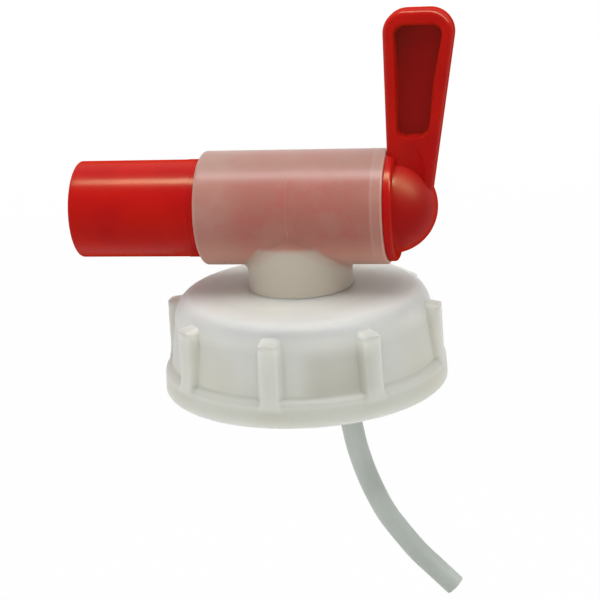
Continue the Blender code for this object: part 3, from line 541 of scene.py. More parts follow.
def tube_finish(sheet, place, look):
    """Pale grey-green plastic, with darker clouds and painted shade towards the cut end."""
    *_, z = sheet.parts(place)
    clouds = sheet.noise(place, 60.0, 2.0)
    # Random darker clouds, and painted shade towards the cut end.
    clouds_and_shade = clouds.fade(0.35, 0.65) * 0.4 + z.fade(-35 * MM, -65 * MM) * 0.6
    return {
        "Base Color": sheet.layered(look.plastic, (clouds_and_shade, look.cloudy)),
        "Roughness": 0.42 + clouds * 0.1,
        "Subsurface Weight": 0.2,
        "Subsurface Radius": (1.0, 1.0, 0.95),
        "Subsurface Scale": 1 * MM,
        "Specular IOR Level": 0.1,
        "Normal": sheet.grain(place, 500.0, 0.08 * MM, 0.15),
    }


def foam_finish(sheet, place, look):
    cells = sheet.noise(place, 2600.0, 3.0, 0.7)
    return {
        "Base Color": sheet.layered(look.foam, (cells.fade(0.35, 0.6), look.cells)),
        "Roughness": 0.8,
        "Normal": sheet.bump(cells, 0.2 * MM, 0.6),
    }


def rubber_finish(sheet, place, look):
    dust = sheet.noise(place, 1500.0, 2.0)
    return {
        "Base Color": sheet.layered(look.rubber, (dust.fade(0.4, 0.7) * 0.4, look.dust)),
        "Roughness": 0.45 + dust * 0.2,
        "Normal": sheet.grain(place, 1800.0, 0.05 * MM, 0.3),
    }


def filleted(corners, spacing):
    """A dense path through corners (x, y) or (x, y, radius), each corner with a radius an arc."""
    points = [Vector(corners[0][:2])]

    def go_to(point):
        start = points[-1]
        gap = (point - start).length
        if gap > SAME_POINT / 2:
            count = max(1, math.ceil(gap / spacing))
            points.extend(start.lerp(point, i / count) for i in range(1, count + 1))

    for before, (x, y, *radius), after in zip(corners, corners[1:], corners[2:]):
        corner = Vector((x, y))
        if not radius:
            go_to(corner)
            continue
        before = (Vector(before[:2]) - corner).normalized()
        after = (Vector(after[:2]) - corner).normalized()
        half = before.angle(after) / 2
        centre = corner + (before + after).normalized() * radius[0] / math.sin(half)
        start = corner + before * radius[0] / math.tan(half) - centre
        end = corner + after * radius[0] / math.tan(half) - centre
        turn = start.angle_signed(end)
        go_to(centre + start)
        count = max(2, math.ceil(abs(turn) / ARC_STEP))
        points.extend(centre + Matrix.Rotation(-turn * i / count, 2) @ start for i in range(1, count + 1))
    go_to(Vector(corners[-1][:2]))
    return points


def arc(centre, radii, start, end, count):
    """Corners along an ellipse's arc."""
    turns = (start + (end - start) * i / count for i in range(count + 1))
    return [(centre[0] + radii[0] * math.cos(t), centre[1] + radii[1] * math.sin(t)) for t in turns]


def plain_mesh(name, points, edges=(), faces=()):
    mesh = bpy.data.meshes.new(name)
    mesh.from_pydata(points, edges, faces)
    return mesh


def merge(mesh):
    """Joins a mesh's double points, and turns its faces outwards."""
    bm = bmesh.new()
    bm.from_mesh(mesh)
    bmesh.ops.remove_doubles(bm, verts=bm.verts, dist=SAME_POINT)
    bmesh.ops.recalc_face_normals(bm, faces=bm.faces)
    bm.to_mesh(mesh)
    bm.free()


def loft(name, rings, loop=False):
    """A piece through rings of as many points each. A loop joins the last ring to the first."""
    rings = np.array(rings)
    count, columns = rings.shape[:2]
    rows = np.arange(count if loop else count - 1)
    row, column = np.meshgrid(rows, np.arange(columns), indexing="ij")
    below = (row + 1) % count
    right = (column + 1) % columns
    corners = [(row, column), (below, column), (below, right), (row, right)]
    faces = np.stack([r * columns + c for r, c in corners], axis=-1).reshape(-1, 4)
    mesh = plain_mesh(name, rings.reshape(-1, 3).tolist(), faces=faces.tolist())
    merge(mesh)
    return add_piece(name, mesh)


def all_round():
    return [math.tau * i / COLUMNS_ROUND_BARREL for i in range(COLUMNS_ROUND_BARREL)]


def turned_about_z(path, angles):
    """Rings of a path of (radius, height), one for each of its points."""
    return [[(radius * math.cos(a), radius * math.sin(a), height) for a in angles] for radius, height in path]


def turned_about_barrel(path):
    """Rings of a path of (place along the barrel, radius)."""
    height = bpy.context.scene.tap_body.axis_height
    angles = all_round()
    return [[(x, radius * math.cos(a), height + radius * math.sin(a)) for a in angles] for x, radius in path]


def add_piece(name, data):
    piece = bpy.data.objects.new(name, data)
    bpy.context.scene.collection.objects.link(piece)
    return piece


def baked(piece):
    """The piece as its modifiers leave it, as a plain mesh of the same name."""
    bpy.context.view_layer.update()
    graph = bpy.context.evaluated_depsgraph_get()
    mesh = bpy.data.meshes.new_from_object(piece.evaluated_get(graph), depsgraph=graph)
    mesh.transform(piece.matrix_world)
    name = piece.name
    bpy.data.objects.remove(piece)
    mesh.name = name
    return add_piece(name, mesh)


def carved(piece, operation, *tools):
    """The piece after Booleans with the tools, which are used up."""
    for tool in tools:
        step = piece.modifiers.new(tool.name, "BOOLEAN")
        step.operation = operation
        step.solver = "EXACT"
        step.object = tool
    piece = baked(piece)
    for tool in tools:
        bpy.data.objects.remove(tool)
    return piece


def solid(name, bm, matrix=Matrix()):
    """A piece of a bmesh, which is used up, moved by a matrix."""
    bmesh.ops.transform(bm, matrix=matrix, verts=bm.verts)
    mesh = bpy.data.meshes.new(name)
    bm.to_mesh(mesh)
    bm.free()
    return add_piece(name, mesh)


def joined(pieces, name):
    """One mesh of several pieces, whose walls may pass through each other."""
    bm = bmesh.new()
    for piece in pieces:
        bm.from_mesh(piece.data)
        bpy.data.objects.remove(piece)
    return solid(name, bm)


def finish_piece(piece, material, body, slot, *nodes):
    piece.data.materials.clear()
    piece.data.materials.append(material)
    piece.data.shade_smooth()
    piece.data.set_sharp_from_angle(angle=SMOOTH_LIMIT)
    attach(piece, body)
    if nodes:
        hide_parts(*nodes)


def prism(name, outline, thickness, matrix, draft=0.0):
    """A flat outline thickened to both sides of its plane. A draft shrinks its front and back faces."""
    bm = bmesh.new()
    centre = sum((Vector(point) for point in outline), Vector((0, 0))) / len(outline)
    layers = []
    for height, inset in ((-thickness / 2, draft), (0.0, 0.0), (thickness / 2, draft)):
        spokes = [Vector(point) - centre for point in outline]
        ring = [centre + spoke * (1 - inset / spoke.length) for spoke in spokes]
        layers.append([bm.verts.new((point.x, point.y, height)) for point in ring])
    if not draft:
        bmesh.ops.delete(bm, geom=layers.pop(1), context="VERTS")
    for lower, upper in zip(layers, layers[1:]):
        for i, vertex in enumerate(lower):
            j = (i + 1) % len(lower)
            bm.faces.new((vertex, lower[j], upper[j], upper[i]))
    bm.faces.new(layers[0][::-1])
    bm.faces.new(layers[-1])
    bmesh.ops.recalc_face_normals(bm, faces=bm.faces)
    return solid(name, bm, matrix)


def drum(name, radius, depth, matrix, segments=48):
    bm = bmesh.new()
    bmesh.ops.create_cone(bm, cap_ends=True, segments=segments, radius1=radius, radius2=radius, depth=depth)
    return solid(name, bm, matrix)


def ball(name, matrix):
    bm = bmesh.new()
    bmesh.ops.create_uvsphere(bm, u_segments=72, v_segments=48, radius=1.0)
    return solid(name, bm, matrix)


def grown(piece, name, draw, look, keys, material):
    """The piece after a new Geometry Nodes tree, whose inputs are the settings with these keys.

    draw(sheet, geometry, ...) takes an input for each key, and returns what it makes of the geometry.
    """
    tree = bpy.data.node_groups.new(name, "GeometryNodeTree")
    tree.interface.new_socket("Geometry", in_out="OUTPUT", socket_type="NodeSocketGeometry")
    tree.interface.new_socket("Geometry", in_out="INPUT", socket_type="NodeSocketGeometry")
    inputs = [(look.bl_rna.properties[key].name, "NodeSocketFloat", getattr(look, key)) for key in keys]
    values = {}
    for label, kind, value in [*inputs, ("Material", "NodeSocketMaterial", material)]:
        socket = tree.interface.new_socket(label, in_out="INPUT", socket_type=kind)
        values[socket.identifier] = value
    sheet = Sheet(tree)
    geometry, *given = sheet.outputs("NodeGroupInput")
    geometry = draw(sheet, geometry, *given[: len(keys)])
    geometry = sheet.add("GeometryNodeRealizeInstances", None, {"Geometry": geometry})
    sockets = {"Geometry": geometry, "Material": given[len(keys)]}
    sheet.add("NodeGroupOutput", None, {0: sheet.add("GeometryNodeSetMaterial", None, sockets)})
    modifier = piece.modifiers.new(name, "NODES")
    modifier.node_group = tree
    for identifier, value in values.items():
        modifier[identifier] = value
    piece = baked(piece)
    merge(piece.data)
    return piece


def draw_ribs(sheet, geometry, width, fillet, spacing, turn, low, high, foot, top, rounding, flare, root):
    """Draws grip ribs out of a plain skirt, and notes them in the attribute rib."""
    x, y, z = sheet.parts(sheet.add("GeometryNodeInputPosition"))
    reach = (x * x + y * y).root()
    bearing = y.maths("ARCTAN2", x) - turn
    across = ((bearing + math.tau).maths("FLOORED_MODULO", math.pi) - math.pi / 2).size()
    nearest = across.smaller((across - spacing).size()).smaller(math.pi / 2 - across)
    gap = nearest * reach
    half = width / 2
    soft = fillet / 2
    hair = 0.1 * MM
    corner = (gap - half + rounding).larger(0.0)
    drop = (rounding**2 - corner * corner).larger(0.0).root() - rounding
    steep_fall = (gap - half).larger(0.0) * 4.0
    crest = top + drop - steep_fall + hair
    raised = gap.fade(half + soft, half - soft) * z.fade(crest, crest - rounding * 0.6)
    raised = raised * z.fade(foot - 2 * MM, foot - 1 * MM) * reach.fade(root, root + hair)
    face = low + (z - foot) / (top - foot) * (high - low)
    face = face + flare * z.fade(foot + 3 * MM, foot - 1.5 * MM)
    stretch = (reach + raised * (face - reach).larger(0.0)) / reach
    moved = sheet.add("ShaderNodeCombineXYZ", None, {0: x * stretch, 1: y * stretch, 2: z})
    noted = {"Geometry": geometry, "Name": "rib", "Value": raised}
    settings = {"data_type": "FLOAT", "domain": "POINT"}
    geometry = sheet.add("GeometryNodeStoreNamedAttribute", settings, noted)
    return sheet.add("GeometryNodeSetPosition", None, {"Geometry": geometry, "Position": moved})


def draw_thread(sheet, outline, radius, pitch, turns, start, run_out):
    """Carries the outline of a ridge up a helix, thinning out at both ends."""
    helix = {
        "Resolution": THREAD_STEPS,
        "Rotations": turns,
        "Start Radius": radius,
        "End Radius": radius,
        "Height": pitch * turns,
    }
    spiral = sheet.add("GeometryNodeCurveSpiral", None, helix)
    lift = sheet.add("ShaderNodeCombineXYZ", None, {2: start})
    spiral = sheet.add("GeometryNodeSetPosition", None, {"Geometry": spiral, "Offset": lift})
    spiral = sheet.add("GeometryNodeSetCurveNormal", {"mode": "Z_UP"}, {"Curve": spiral})
    along = sheet.add("GeometryNodeSplineParameter")
    least = 0.05
    thin = (along.fade(0.0, run_out) * along.fade(1.0, 1.0 - run_out)).larger(least)
    outline = sheet.add("GeometryNodeMeshToCurve", None, {"Mesh": outline})
    ridge = {"Curve": spiral, "Profile Curve": outline, "Scale": thin, "Fill Caps": True}
    return sheet.add("GeometryNodeCurveToMesh", None, ridge)


def draw_tube(sheet, line, radius, wall):
    """Lays a tube with a wall along a line."""
    line = sheet.add("GeometryNodeMeshToCurve", None, {"Mesh": line})
    circle = {"Resolution": TUBE_COLUMNS, "Radius": radius}
    ring = sheet.add("GeometryNodeCurvePrimitiveCircle", None, circle)
    skin = sheet.add("GeometryNodeCurveToMesh", None, {"Curve": line, "Profile Curve": ring})
    inwards = {"Mesh": skin, "Offset Scale": 0.0 - wall, "Individual": False}
    inside = sheet.add("GeometryNodeExtrudeMesh", None, inwards)
    return sheet.add("GeometryNodeJoinGeometry", None, {"Geometry": [skin, inside]})


def smooth_route(route, steps=24):
    """Points close together along a Catmull-Rom curve through the route, y being 0."""
    knots = [Vector((x * MM, 0.0, z * MM)) for x, z in route]
    knots = [2 * knots[0] - knots[1], *knots, 2 * knots[-1] - knots[-2]]
    points = []
    for before, start, end, after in zip(knots, knots[1:], knots[2:], knots[3:]):
        for t in (i / steps for i in range(steps)):
            bend = (2 * before - 5 * start + 4 * end - after) * t**2
            bend += (3 * start - before - 3 * end + after) * t**3
            points.append((2 * start + (end - before) * t + bend) / 2)
    points.append(knots[-2])
    return points


def make_tube(look):
    points = smooth_route(TUBE_ROUTE)
    line = plain_mesh("vent_tube_line", points, [(i, i + 1) for i in range(len(points) - 1)])
    material = new_plastic("tube_plastic", tube_finish, look)
    tube = grown(add_piece("tube_with_bore", line), "Tube", draw_tube, look, ("radius", "wall"), material)
    finish_piece(tube, material, "tap_body", "tube", "vent_tube")


def cap_bearings(look):
    """Bearings of the cap's columns, close together where the sides of the ribs rise."""
    fine, coarse, beside = 0.16 * MM, 0.9 * MM, 1.1 * MM
    least = 0.1 * MM
    bearings = []
    bearing = 0.0
    while bearing < math.tau - least / look.skirt_foot:
        bearings.append(bearing)
        across = abs((bearing - look.rib_turn) % math.pi - math.pi / 2)
        gap = min(across, abs(across - look.rib_spacing), math.pi / 2 - across) * look.skirt_foot
        step = fine if abs(gap - look.rib_width / 2) < beside else coarse
        bearing += step / look.skirt_foot
    return bearings


def cap_section(look):
    """The cap's section: the outside from the collar over the top to the rim, and the inside back."""
    centre = (look.skirt_top - look.shoulder_width, look.top_edge - look.shoulder_height)
    radii = (look.shoulder_width, look.shoulder_height)
    # The shoulder's arc has points 7.5 degrees apart, and closer ones where the ribs' tops curve.
    fine_step, fine_count, steps = 0.12 * MM, 14, 12
    heights = [look.rib_top + fine_step * (1 - i) for i in range(fine_count)]
    fine = [math.asin((height - centre[1]) / radii[1]) for height in heights]
    turns = [math.pi / 2 * i / steps for i in range(steps + 1)]
    turns = fine + [t for t in turns if t > fine[0] or t < fine[-1]]
    disc_edge = look.top_edge + 0.7 * MM
    outside = [
        (look.hole, look.collar_end),
        (look.hole, look.crown, 0.3 * MM),
        (look.disc - look.disc_slope, disc_edge, 2 * MM),
        (look.disc, disc_edge - look.disc_step, 2 * MM),
    ]
    for t in sorted(turns, reverse=True):
        outside.append((centre[0] + radii[0] * math.cos(t), centre[1] + radii[1] * math.sin(t)))
    outside += [
        (look.skirt_foot, look.ledge, 1.5 * MM),
        (look.rim - 0.3 * MM, look.rim_top, 2.2 * MM),
        (look.rim, look.foot, 0.7 * MM),
        (look.thread_root, look.foot),
    ]
    recess = look.seat_height - 4.4 * MM
    inside = [
        (look.thread_root, look.foot),
        (look.thread_root, recess),
        (look.seat, recess + look.thread_root - look.seat),
        (look.seat, look.seat_height, 0.4 * MM),
        (look.collar, look.seat_height, 0.4 * MM),
        (look.collar, look.collar_end, 0.3 * MM),
        (look.hole + 0.2 * MM, look.collar_end),
    ]
    return filleted(outside, 1.1 * MM) + filleted(inside, 4 * MM)[1:]


def thread_outline(look):
    """The thread's ridge cut across, as a closed line in (x, y), with its foot sunk into the skirt."""
    foot, depth = (MARGIN, look.thread_base / 2), (-look.thread_depth, look.thread_crest / 2)
    points = [(foot[0], -foot[1], 0.0), (depth[0], -depth[1], 0.0), (*depth, 0.0), (*foot, 0.0)]
    return plain_mesh("thread_outline", points, [(0, 1), (1, 2), (2, 3), (3, 0)])


def make_cap(look):
    material = new_plastic("cap_plastic", cap_finish, look)
    shell = loft("cap_shell", turned_about_z(cap_section(look), cap_bearings(look)), loop=True)
    ribs = ("rib_width", "rib_fillet", "rib_spacing", "rib_turn", "rib_low", "rib_high")
    ribs += ("rim_top", "rib_top", "rib_round", "rib_flare", "thread_root")
    shell = grown(shell, "Grip ribs", draw_ribs, look, ribs, material)
    finish_piece(shell, material, "cap", "cap", "screw_cap")

    thread = add_piece("cap_thread", thread_outline(look))
    helix = ("thread_root", "thread_pitch", "thread_turns", "thread_start", "thread_run_out")
    thread = grown(thread, "Thread", draw_thread, look, helix, material)
    finish_piece(thread, material, "cap", "cap")
    # Light passes the ridge, as it does in the one moulding, so that no band of the wall behind it goes dark.
    thread.visible_shadow = False
    thread.visible_diffuse = False


def passage_outline(look, margin=0.0):
    """The liquid passage's D shape, in (x, y)."""
    radius = look.passage + margin
    half = math.acos((look.passage_flat + margin - look.passage_centre) / radius)
    return arc((look.passage_centre, 0.0), (radius, radius), half, math.tau - half, 64)


def upright_at(x, z):
    return Matrix.Translation((x, 0.0, z))


def neck_section(look):
    """The outside of the spigot and the neck's foot, from the middle of the spigot's end upwards."""
    groove_foot, groove_top = look.seal - look.seal_half, look.seal + look.seal_half
    corners = [
        (0.0, look.spigot_end),
        (look.spigot, look.spigot_end, 0.4 * MM),
        (look.spigot, look.bead_top - look.bead_height),
        (look.bead, look.bead_top - look.bead_height / 3, 0.3 * MM),
        (look.bead, look.bead_top, 0.2 * MM),
        (look.spigot, look.bead_top),
        (look.spigot, groove_foot, 0.15 * MM),
        (look.seal_floor, groove_foot, 0.15 * MM),
        (look.seal_floor, groove_top, 0.15 * MM),
        (look.spigot, groove_top, 0.15 * MM),
        (look.spigot, look.neck_foot),
        (look.neck, look.neck_foot),
        (look.neck, look.neck_foot + 1 * MM),
    ]
    return filleted(corners, 2 * MM)


def neck_rings(look):
    """Rings of the neck and spigot as a solid, from its foot up to a saddle inside the barrel's wall."""
    angles = all_round()
    rings = turned_about_z(neck_section(look), angles)
    low = look.neck_foot + 1 * MM
    away = look.neck + look.fillet
    rise_steps, fillet_steps = 6, 12
    centres, starts, ends = [], [], []
    for a in angles:
        y = away * math.sin(a)
        drop = math.sqrt((look.radius + look.fillet) ** 2 - y * y)
        centres.append(Vector((away * math.cos(a), y, look.axis_height - drop)))
        starts.append(Vector((-math.cos(a), -math.sin(a), 0.0)))
        ends.append(Vector((0.0, -y, drop)).normalized())
    tops = [centre + start * look.fillet for centre, start in zip(centres, starts)]
    for i in range(1, rise_steps + 1):
        rings.append([(top.x, top.y, low + (top.z - low) * i / rise_steps) for top in tops])
    for i in range(1, fillet_steps + 1):
        bends = [start.slerp(end, i / fillet_steps) * look.fillet for start, end in zip(starts, ends)]
        rings.append([tuple(centre + bend) for centre, bend in zip(centres, bends)])
    # Rings of the roof, closer together where the bore's surface climbs.
    inner = look.bore + 0.02 * MM
    for radius in (12, 11.4, 10.8, 10, 9, 7.5, 6, 4, 2, 0):
        spots = [(radius * MM * math.cos(a), radius * MM * math.sin(a)) for a in angles]
        rings.append([(x, y, look.axis_height - math.sqrt(inner**2 - y * y)) for x, y in spots])
    return rings


def make_body(look):
    groove_left, groove_right = look.snap - look.snap_half, look.snap + look.snap_half
    corners = [
        (0.0, look.bore),
        (look.left, look.bore, 0.3 * MM),
        (look.left, look.radius, look.edge),
        (look.right, look.radius, look.edge / 2),
        (look.right, look.bore, 0.3 * MM),
        (groove_right, look.bore),
        (groove_right, look.bore + look.snap_depth),
        (groove_left, look.bore + look.snap_depth),
        (groove_left, look.bore),
    ]
    barrel = loft("barrel", turned_about_barrel(filleted(corners, STEP_ALONG_BARREL)), loop=True)
    reach = look.axis_height - look.spigot_end
    middle = (look.axis_height + look.spigot_end) / 2
    barrel = carved(
        barrel,
        "DIFFERENCE",
        prism("wide passage", passage_outline(look, MARGIN), reach + 2 * MM, upright_at(0.0, middle)),
        drum("wide duct", look.duct + MARGIN, reach, upright_at(look.duct_place, middle)),
    )
    roof = look.socket_top
    above_roof = upright_at(look.duct_place, (look.axis_height + roof) / 2)
    neck = carved(
        loft("neck", neck_rings(look)),
        "DIFFERENCE",
        prism("passage", passage_outline(look), reach + 2 * MM, upright_at(0.0, middle)),
        drum("duct", look.duct, look.axis_height - roof + 1 * MM, above_roof),
        drum("socket", look.socket, 12 * MM, upright_at(look.duct_place, roof - 6 * MM)),
    )
    material = new_plastic("body_plastic", body_finish, look)
    finish_piece(joined([barrel, neck], "housing"), material, "tap_body", "body", "tap_body")


def block(name, low, high):
    """A solid box between two opposite corners."""
    outline = [(low[0], low[1]), (high[0], low[1]), (high[0], high[1]), (low[0], high[1])]
    return prism(name, outline, high[2] - low[2], upright_at(0.0, (low[2] + high[2]) / 2))


def across_barrel(x):
    """Lays an outline drawn in (y, z) across the barrel's axis at a place along it."""
    turn = Matrix(((0, 0, 1), (1, 0, 0), (0, 1, 0))).to_4x4()
    return Matrix.Translation((x, 0, bpy.context.scene.tap_body.axis_height)) @ turn


def make_lever(look, height):
    """The lever, with a pocket in each face, hollowed where it enters the dome."""
    left = look.flange_left
    slope = (look.lever_top - look.lever_foot) / look.lever_height
    outline = filleted(
        [
            (left, 0.0),
            (left + look.lever_foot, 0.0),
            (left + look.lever_top, look.lever_height, look.lever_corner),
            (left + look.lever_lean, look.lever_height, look.lever_corner),
            (left, 0.0),
        ],
        4 * MM,
    )[:-1]
    upright = Matrix.Translation((0, 0, height)) @ Matrix.Rotation(math.pi / 2, 4, "X")
    lever = prism("lever", outline, look.lever_thickness, upright)
    lever = bevelled(lever, look.lever_edge, 5)
    top = look.lever_height - look.pocket_top
    low_right = left + look.lever_foot + slope * look.pocket_foot - look.pocket_wall
    high_right = left + look.lever_foot + slope * top - look.pocket_wall
    middle = (left + look.pocket_wall + low_right) / 2
    corner = look.pocket_corner
    pocket = filleted(
        [
            (middle, look.pocket_foot),
            (low_right, look.pocket_foot, corner),
            (high_right, top, corner),
            (left + look.lever_lean + look.pocket_wall, top, corner),
            (left + look.pocket_wall, look.pocket_foot, corner),
            (middle, look.pocket_foot),
        ],
        4 * MM,
    )[:-1]
    tools = []
    for side in (-1, 1):
        place = Matrix.Translation((0, side * look.lever_thickness / 2, 0)) @ upright
        tools.append(prism("pocket", pocket, 2 * look.pocket_depth, place, look.pocket_draft))
        x, away, rise = look.web_place
        place = Matrix.Translation((x, side * (look.lever_thickness / 2 + away), height + rise))
        tools.append(ball("web", place @ Matrix.Diagonal((*look.web_size, 1.0))))
    inside = Matrix.Translation((look.dome_place, 0.0, height)) @ Matrix.Scale(look.bore + MARGIN, 4)
    tools.append(ball("dome hollow", inside))
    lever = carved(lever, "DIFFERENCE", *tools)
    return bevelled(lever, 0.45 * MM, 3)


def bevelled(piece, width, segments):
    step = piece.modifiers.new("rounding", "BEVEL")
    step.width = width
    step.segments = segments
    step.limit_method = "ANGLE"
    step.angle_limit = BEVEL_LIMIT
    step.use_clamp_overlap = True
    return baked(piece)


def stem_section(look):
    """The stem's section in (place along the barrel, radius), from the dome to the spout and back inside."""
    snap = bpy.context.scene.tap_body.snap
    radius = look.radius
    proud = radius + look.collar_proud
    collar_right = look.collar_from + 2.3 * MM
    edge_on_dome = math.acos((look.flange_right - look.dome_place) / look.dome)
    corners = arc((look.dome_place, 0.0), (look.dome, look.dome), 0.0, edge_on_dome, 20)
    corners += [
        (look.flange_right, look.flange, look.flange_edge),
        (look.flange_left, look.flange, 0.3 * MM),
        (look.flange_left, radius),
        (snap + 0.5 * MM, radius),
        (snap + 0.25 * MM, look.snap),
        (snap - 0.25 * MM, look.snap),
        (snap - 0.5 * MM, radius),
        (collar_right, radius),
        (collar_right, proud),
        (look.collar_from, proud),
        (look.collar_from, radius),
        (look.spout_end, radius, look.spout_edge),
        (look.spout_end, look.bore, 0.15 * MM),
    ]
    corners += arc((look.dome_place, 0.0), (look.bore, look.bore), math.pi / 2, 0.0, 16)
    return filleted(corners, STEP_ALONG_BARREL)


def air_channel(look, height, end):
    """The wall that parts the air from the liquid in the stem, with a stop at its end."""
    reach = 8 * MM
    face = -look.channel
    back = face + look.channel_wall
    wall = block("wall", (look.spout_end + 2 * MM, face, height - reach), (end, back, height + reach))
    low = (end - look.channel_wall, -look.bore - 0.6 * MM, height - reach)
    stop = block("stop", low, (end, back - look.channel_wall / 2, height + reach))
    lying = Matrix.Translation((-10 * MM, 0, height)) @ Matrix.Rotation(math.pi / 2, 4, "Y")
    wall = carved(wall, "UNION", stop)
    return carved(wall, "INTERSECT", drum("core", look.bore + 1.2 * MM, 100 * MM, lying, 96))


def groove_outline(look):
    """The air groove in the plug, across the barrel's axis in (y, z). It goes a little over half round."""
    overlap = math.radians(9)
    outer, inner = look.radius + MARGIN, look.radius - look.groove_depth
    outline = arc((0.0, 0.0), (outer, outer), -overlap, math.pi + overlap, 60)
    return outline + arc((0.0, 0.0), (inner, inner), math.pi + overlap, -overlap, 60)


def make_stem(look):
    height = bpy.context.scene.tap_body.axis_height
    duct_place = bpy.context.scene.tap_body.duct_place
    sideways = Matrix.Rotation(math.pi / 2, 4, "X")
    port_place = Matrix.Translation((look.port_place, look.radius, height)) @ sideways
    air_place = Matrix.Translation((duct_place, -look.radius, height)) @ sideways
    shell = loft("stem", turned_about_barrel(stem_section(look)))
    shell = carved(shell, "UNION", air_channel(look, height, duct_place + look.groove_width))
    shell = carved(
        shell,
        "DIFFERENCE",
        prism("groove", groove_outline(look), look.groove_width, across_barrel(duct_place)),
        drum("port", look.port, look.radius, port_place),
        drum("air port", look.air_port, look.radius - look.channel, air_place),
    )
    stem = joined([shell, make_lever(look, height)], "stem_with_lever")
    material = new_plastic("red_plastic", stem_finish, look, look.rim)
    finish_piece(stem, material, "stem", "stem", "stem")


def make_seals(look):
    """Gives the gasket and the seal ring, whose own solids stay, their materials."""
    for node, material in (
        ("cap_gasket", new_plastic("gasket_foam", foam_finish, look)),
        ("neck_seal", new_plastic("seal_rubber", rubber_finish, look)),
    ):
        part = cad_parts[node]
        part.data.materials.clear()
        part.data.materials.append(material)


def add_lamp(name, place, size, power, upwards=(0, 0, 1)):
    """A rectangular lamp that faces the origin, with its second side along upwards."""
    light = bpy.data.lights.new(name, "AREA")
    light.shape = "RECTANGLE"
    light.size, light.size_y = size
    light.energy = power
    lamp = add_piece(name, light)
    back = Vector(place).normalized()
    across = Vector(upwards).cross(back).normalized()
    turn = Matrix((across, back.cross(across), back)).transposed()
    lamp.matrix_world = Matrix.Translation(place) @ turn.to_4x4()
    return lamp


def seen_or_mirrored(sheet):
    """1 for the rays of the camera, of reflections and through glass, and 0 for the rest."""
    rays = {ray.socket.name: ray for ray in sheet.outputs("ShaderNodeLightPath")}
    return (rays["Is Camera Ray"] + rays["Is Glossy Ray"] + rays["Is Transmission Ray"]).smaller(1.0)


def make_camera():
    camera = add_piece("camera", bpy.data.cameras.new("camera"))
    camera.data.sensor_width = SENSOR_WIDTH
    camera.data.lens = LENS
    camera.data.clip_start = 0.01
    camera.matrix_world = CAMERA_PLACE
    bpy.context.scene.camera = camera


def make_floor(look):
    """A matt floor, which the camera and reflections see as white, faintly shaded near the tap."""
    material = bpy.data.materials.new("floor")
    sheet = blank_sheet(material)
    x, y, _ = sheet.parts(sheet.place())
    far = (x * x + y * y).root().fade(0.2, 0.9)
    shaded = 0.07
    plain = sheet.add("ShaderNodeBsdfDiffuse", None, {"Color": opaque(look.backdrop)})
    glow = sheet.add("ShaderNodeEmission", None, {"Strength": 1.0})
    seen = seen_or_mirrored(sheet) * (far * shaded + (1.0 - shaded))
    sheet.add("ShaderNodeOutputMaterial", None, {"Surface": sheet.mixed_shaders(seen, plain, glow)})
    half = 4.0
    corners = [(-half, -half), (half, -half), (half, half), (-half, half)]
    floor = plain_mesh("floor", [(x, y, look.floor) for x, y in corners], faces=[(0, 1, 2, 3)])
    floor.materials.append(material)
    add_piece("floor", floor)


def make_surroundings(look):
    """Light from all round, which the camera and reflections see as white."""
    world = bpy.data.worlds.new("surroundings")
    bpy.context.scene.world = world
    sheet = blank_sheet(world)
    light = sheet.add("ShaderNodeBackground", None, {"Color": WHITE, "Strength": look.surroundings})
    white = sheet.add("ShaderNodeBackground", None, {"Color": WHITE, "Strength": 1.0})
    mixed = sheet.mixed_shaders(seen_or_mirrored(sheet), light, white)
    sheet.add("ShaderNodeOutputWorld", None, {"Surface": mixed})


def make_stage(look):
    make_camera()
    overhead = add_lamp("overhead lamp", (0.0, -0.1, 0.85), (1.2, 0.6), look.overhead, (0, 1, 0))
    overhead.visible_glossy = False
    strip = add_lamp("strip lamp", (0.3, -0.175, 0.8), (1.5, 0.2), look.strip, (0, 1, 0))
    strip.visible_diffuse = False
    add_lamp("left lamp", (-0.95, -0.3, 0.15), (0.6, 0.8), look.left)
    add_lamp("back lamp", (0.3, 0.85, 0.35), (0.8, 0.5), look.back)
    make_floor(look)
    make_surroundings(look)
    bpy.context.scene.view_settings.view_transform = "Standard"


class TapStageOperator(bpy.types.Operator):
    """Makes the camera, lamps, floor and surroundings"""

    bl_idname = "tap.stage"
    bl_label = "Make stage"

    def execute(self, context):
        make_stage(context.scene.tap_stage)
        return {"FINISHED"}


class TapTubeOperator(bpy.types.Operator):
    """Makes the vent tube with its bore"""

    bl_idname = "tap.tube"
    bl_label = "Make vent tube"

    def execute(self, context):
        make_tube(context.scene.tap_tube)
        return {"FINISHED"}


class TapCapOperator(bpy.types.Operator):
    """Makes the screw cap with its grip ribs and thread"""

    bl_idname = "tap.cap"
    bl_label = "Make cap"

    def execute(self, context):
        make_cap(context.scene.tap_cap)
        return {"FINISHED"}


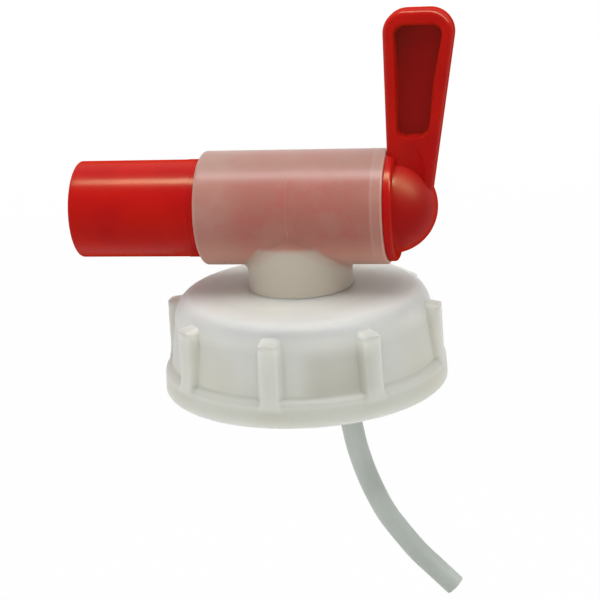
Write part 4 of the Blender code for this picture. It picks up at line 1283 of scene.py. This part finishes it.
class TapBodyOperator(bpy.types.Operator):
    """Makes the barrel and the neck with its spigot"""

    bl_idname = "tap.body"
    bl_label = "Make tap body"

    def execute(self, context):
        make_body(context.scene.tap_body)
        return {"FINISHED"}


class TapStemOperator(bpy.types.Operator):
    """Makes the stem: spout, plug, flange, dome and lever"""

    bl_idname = "tap.stem"
    bl_label = "Make stem"

    def execute(self, context):
        make_stem(context.scene.tap_stem)
        return {"FINISHED"}


class TapSealsOperator(bpy.types.Operator):
    """Gives the gasket and the seal ring their materials"""

    bl_idname = "tap.seals"
    bl_label = "Dress seals"

    def execute(self, context):
        make_seals(context.scene.tap_seals)
        return {"FINISHED"}


class TapPanel(bpy.types.Panel):
    """Sizes, colours and makers of the tap's pieces"""

    bl_idname = "VIEW3D_PT_tap"
    bl_label = "Jerrycan tap"
    bl_space_type = "VIEW_3D"
    bl_region_type = "UI"
    bl_category = "Tap"

    def draw(self, context):
        for name, settings in SETTINGS.items():
            box = self.layout.box()
            box.operator(f"tap.{name.removeprefix('tap_')}")
            for key in settings.__annotations__:
                box.prop(getattr(context.scene, name), key)


SETTINGS = {
    "tap_stage": TapStageSettings,
    "tap_tube": TapTubeSettings,
    "tap_cap": TapCapSettings,
    "tap_body": TapBodySettings,
    "tap_stem": TapStemSettings,
    "tap_seals": TapSealSettings,
}
CLASSES = [
    *SETTINGS.values(),
    TapStageOperator,
    TapTubeOperator,
    TapCapOperator,
    TapBodyOperator,
    TapStemOperator,
    TapSealsOperator,
    TapPanel,
]


def register():
    for kind in CLASSES:
        bpy.utils.register_class(kind)
    for name, settings in SETTINGS.items():
        setattr(bpy.types.Scene, name, bpy.props.PointerProperty(type=settings))


def unregister():
    for name in SETTINGS:
        delattr(bpy.types.Scene, name)
    for kind in reversed(CLASSES):
        bpy.utils.unregister_class(kind)


def main():
    register()
    bpy.ops.tap.stage()
    bpy.ops.tap.tube()
    bpy.ops.tap.cap()
    bpy.ops.tap.body()
    bpy.ops.tap.stem()
    bpy.ops.tap.seals()


if __name__ == "__main__":
    main()
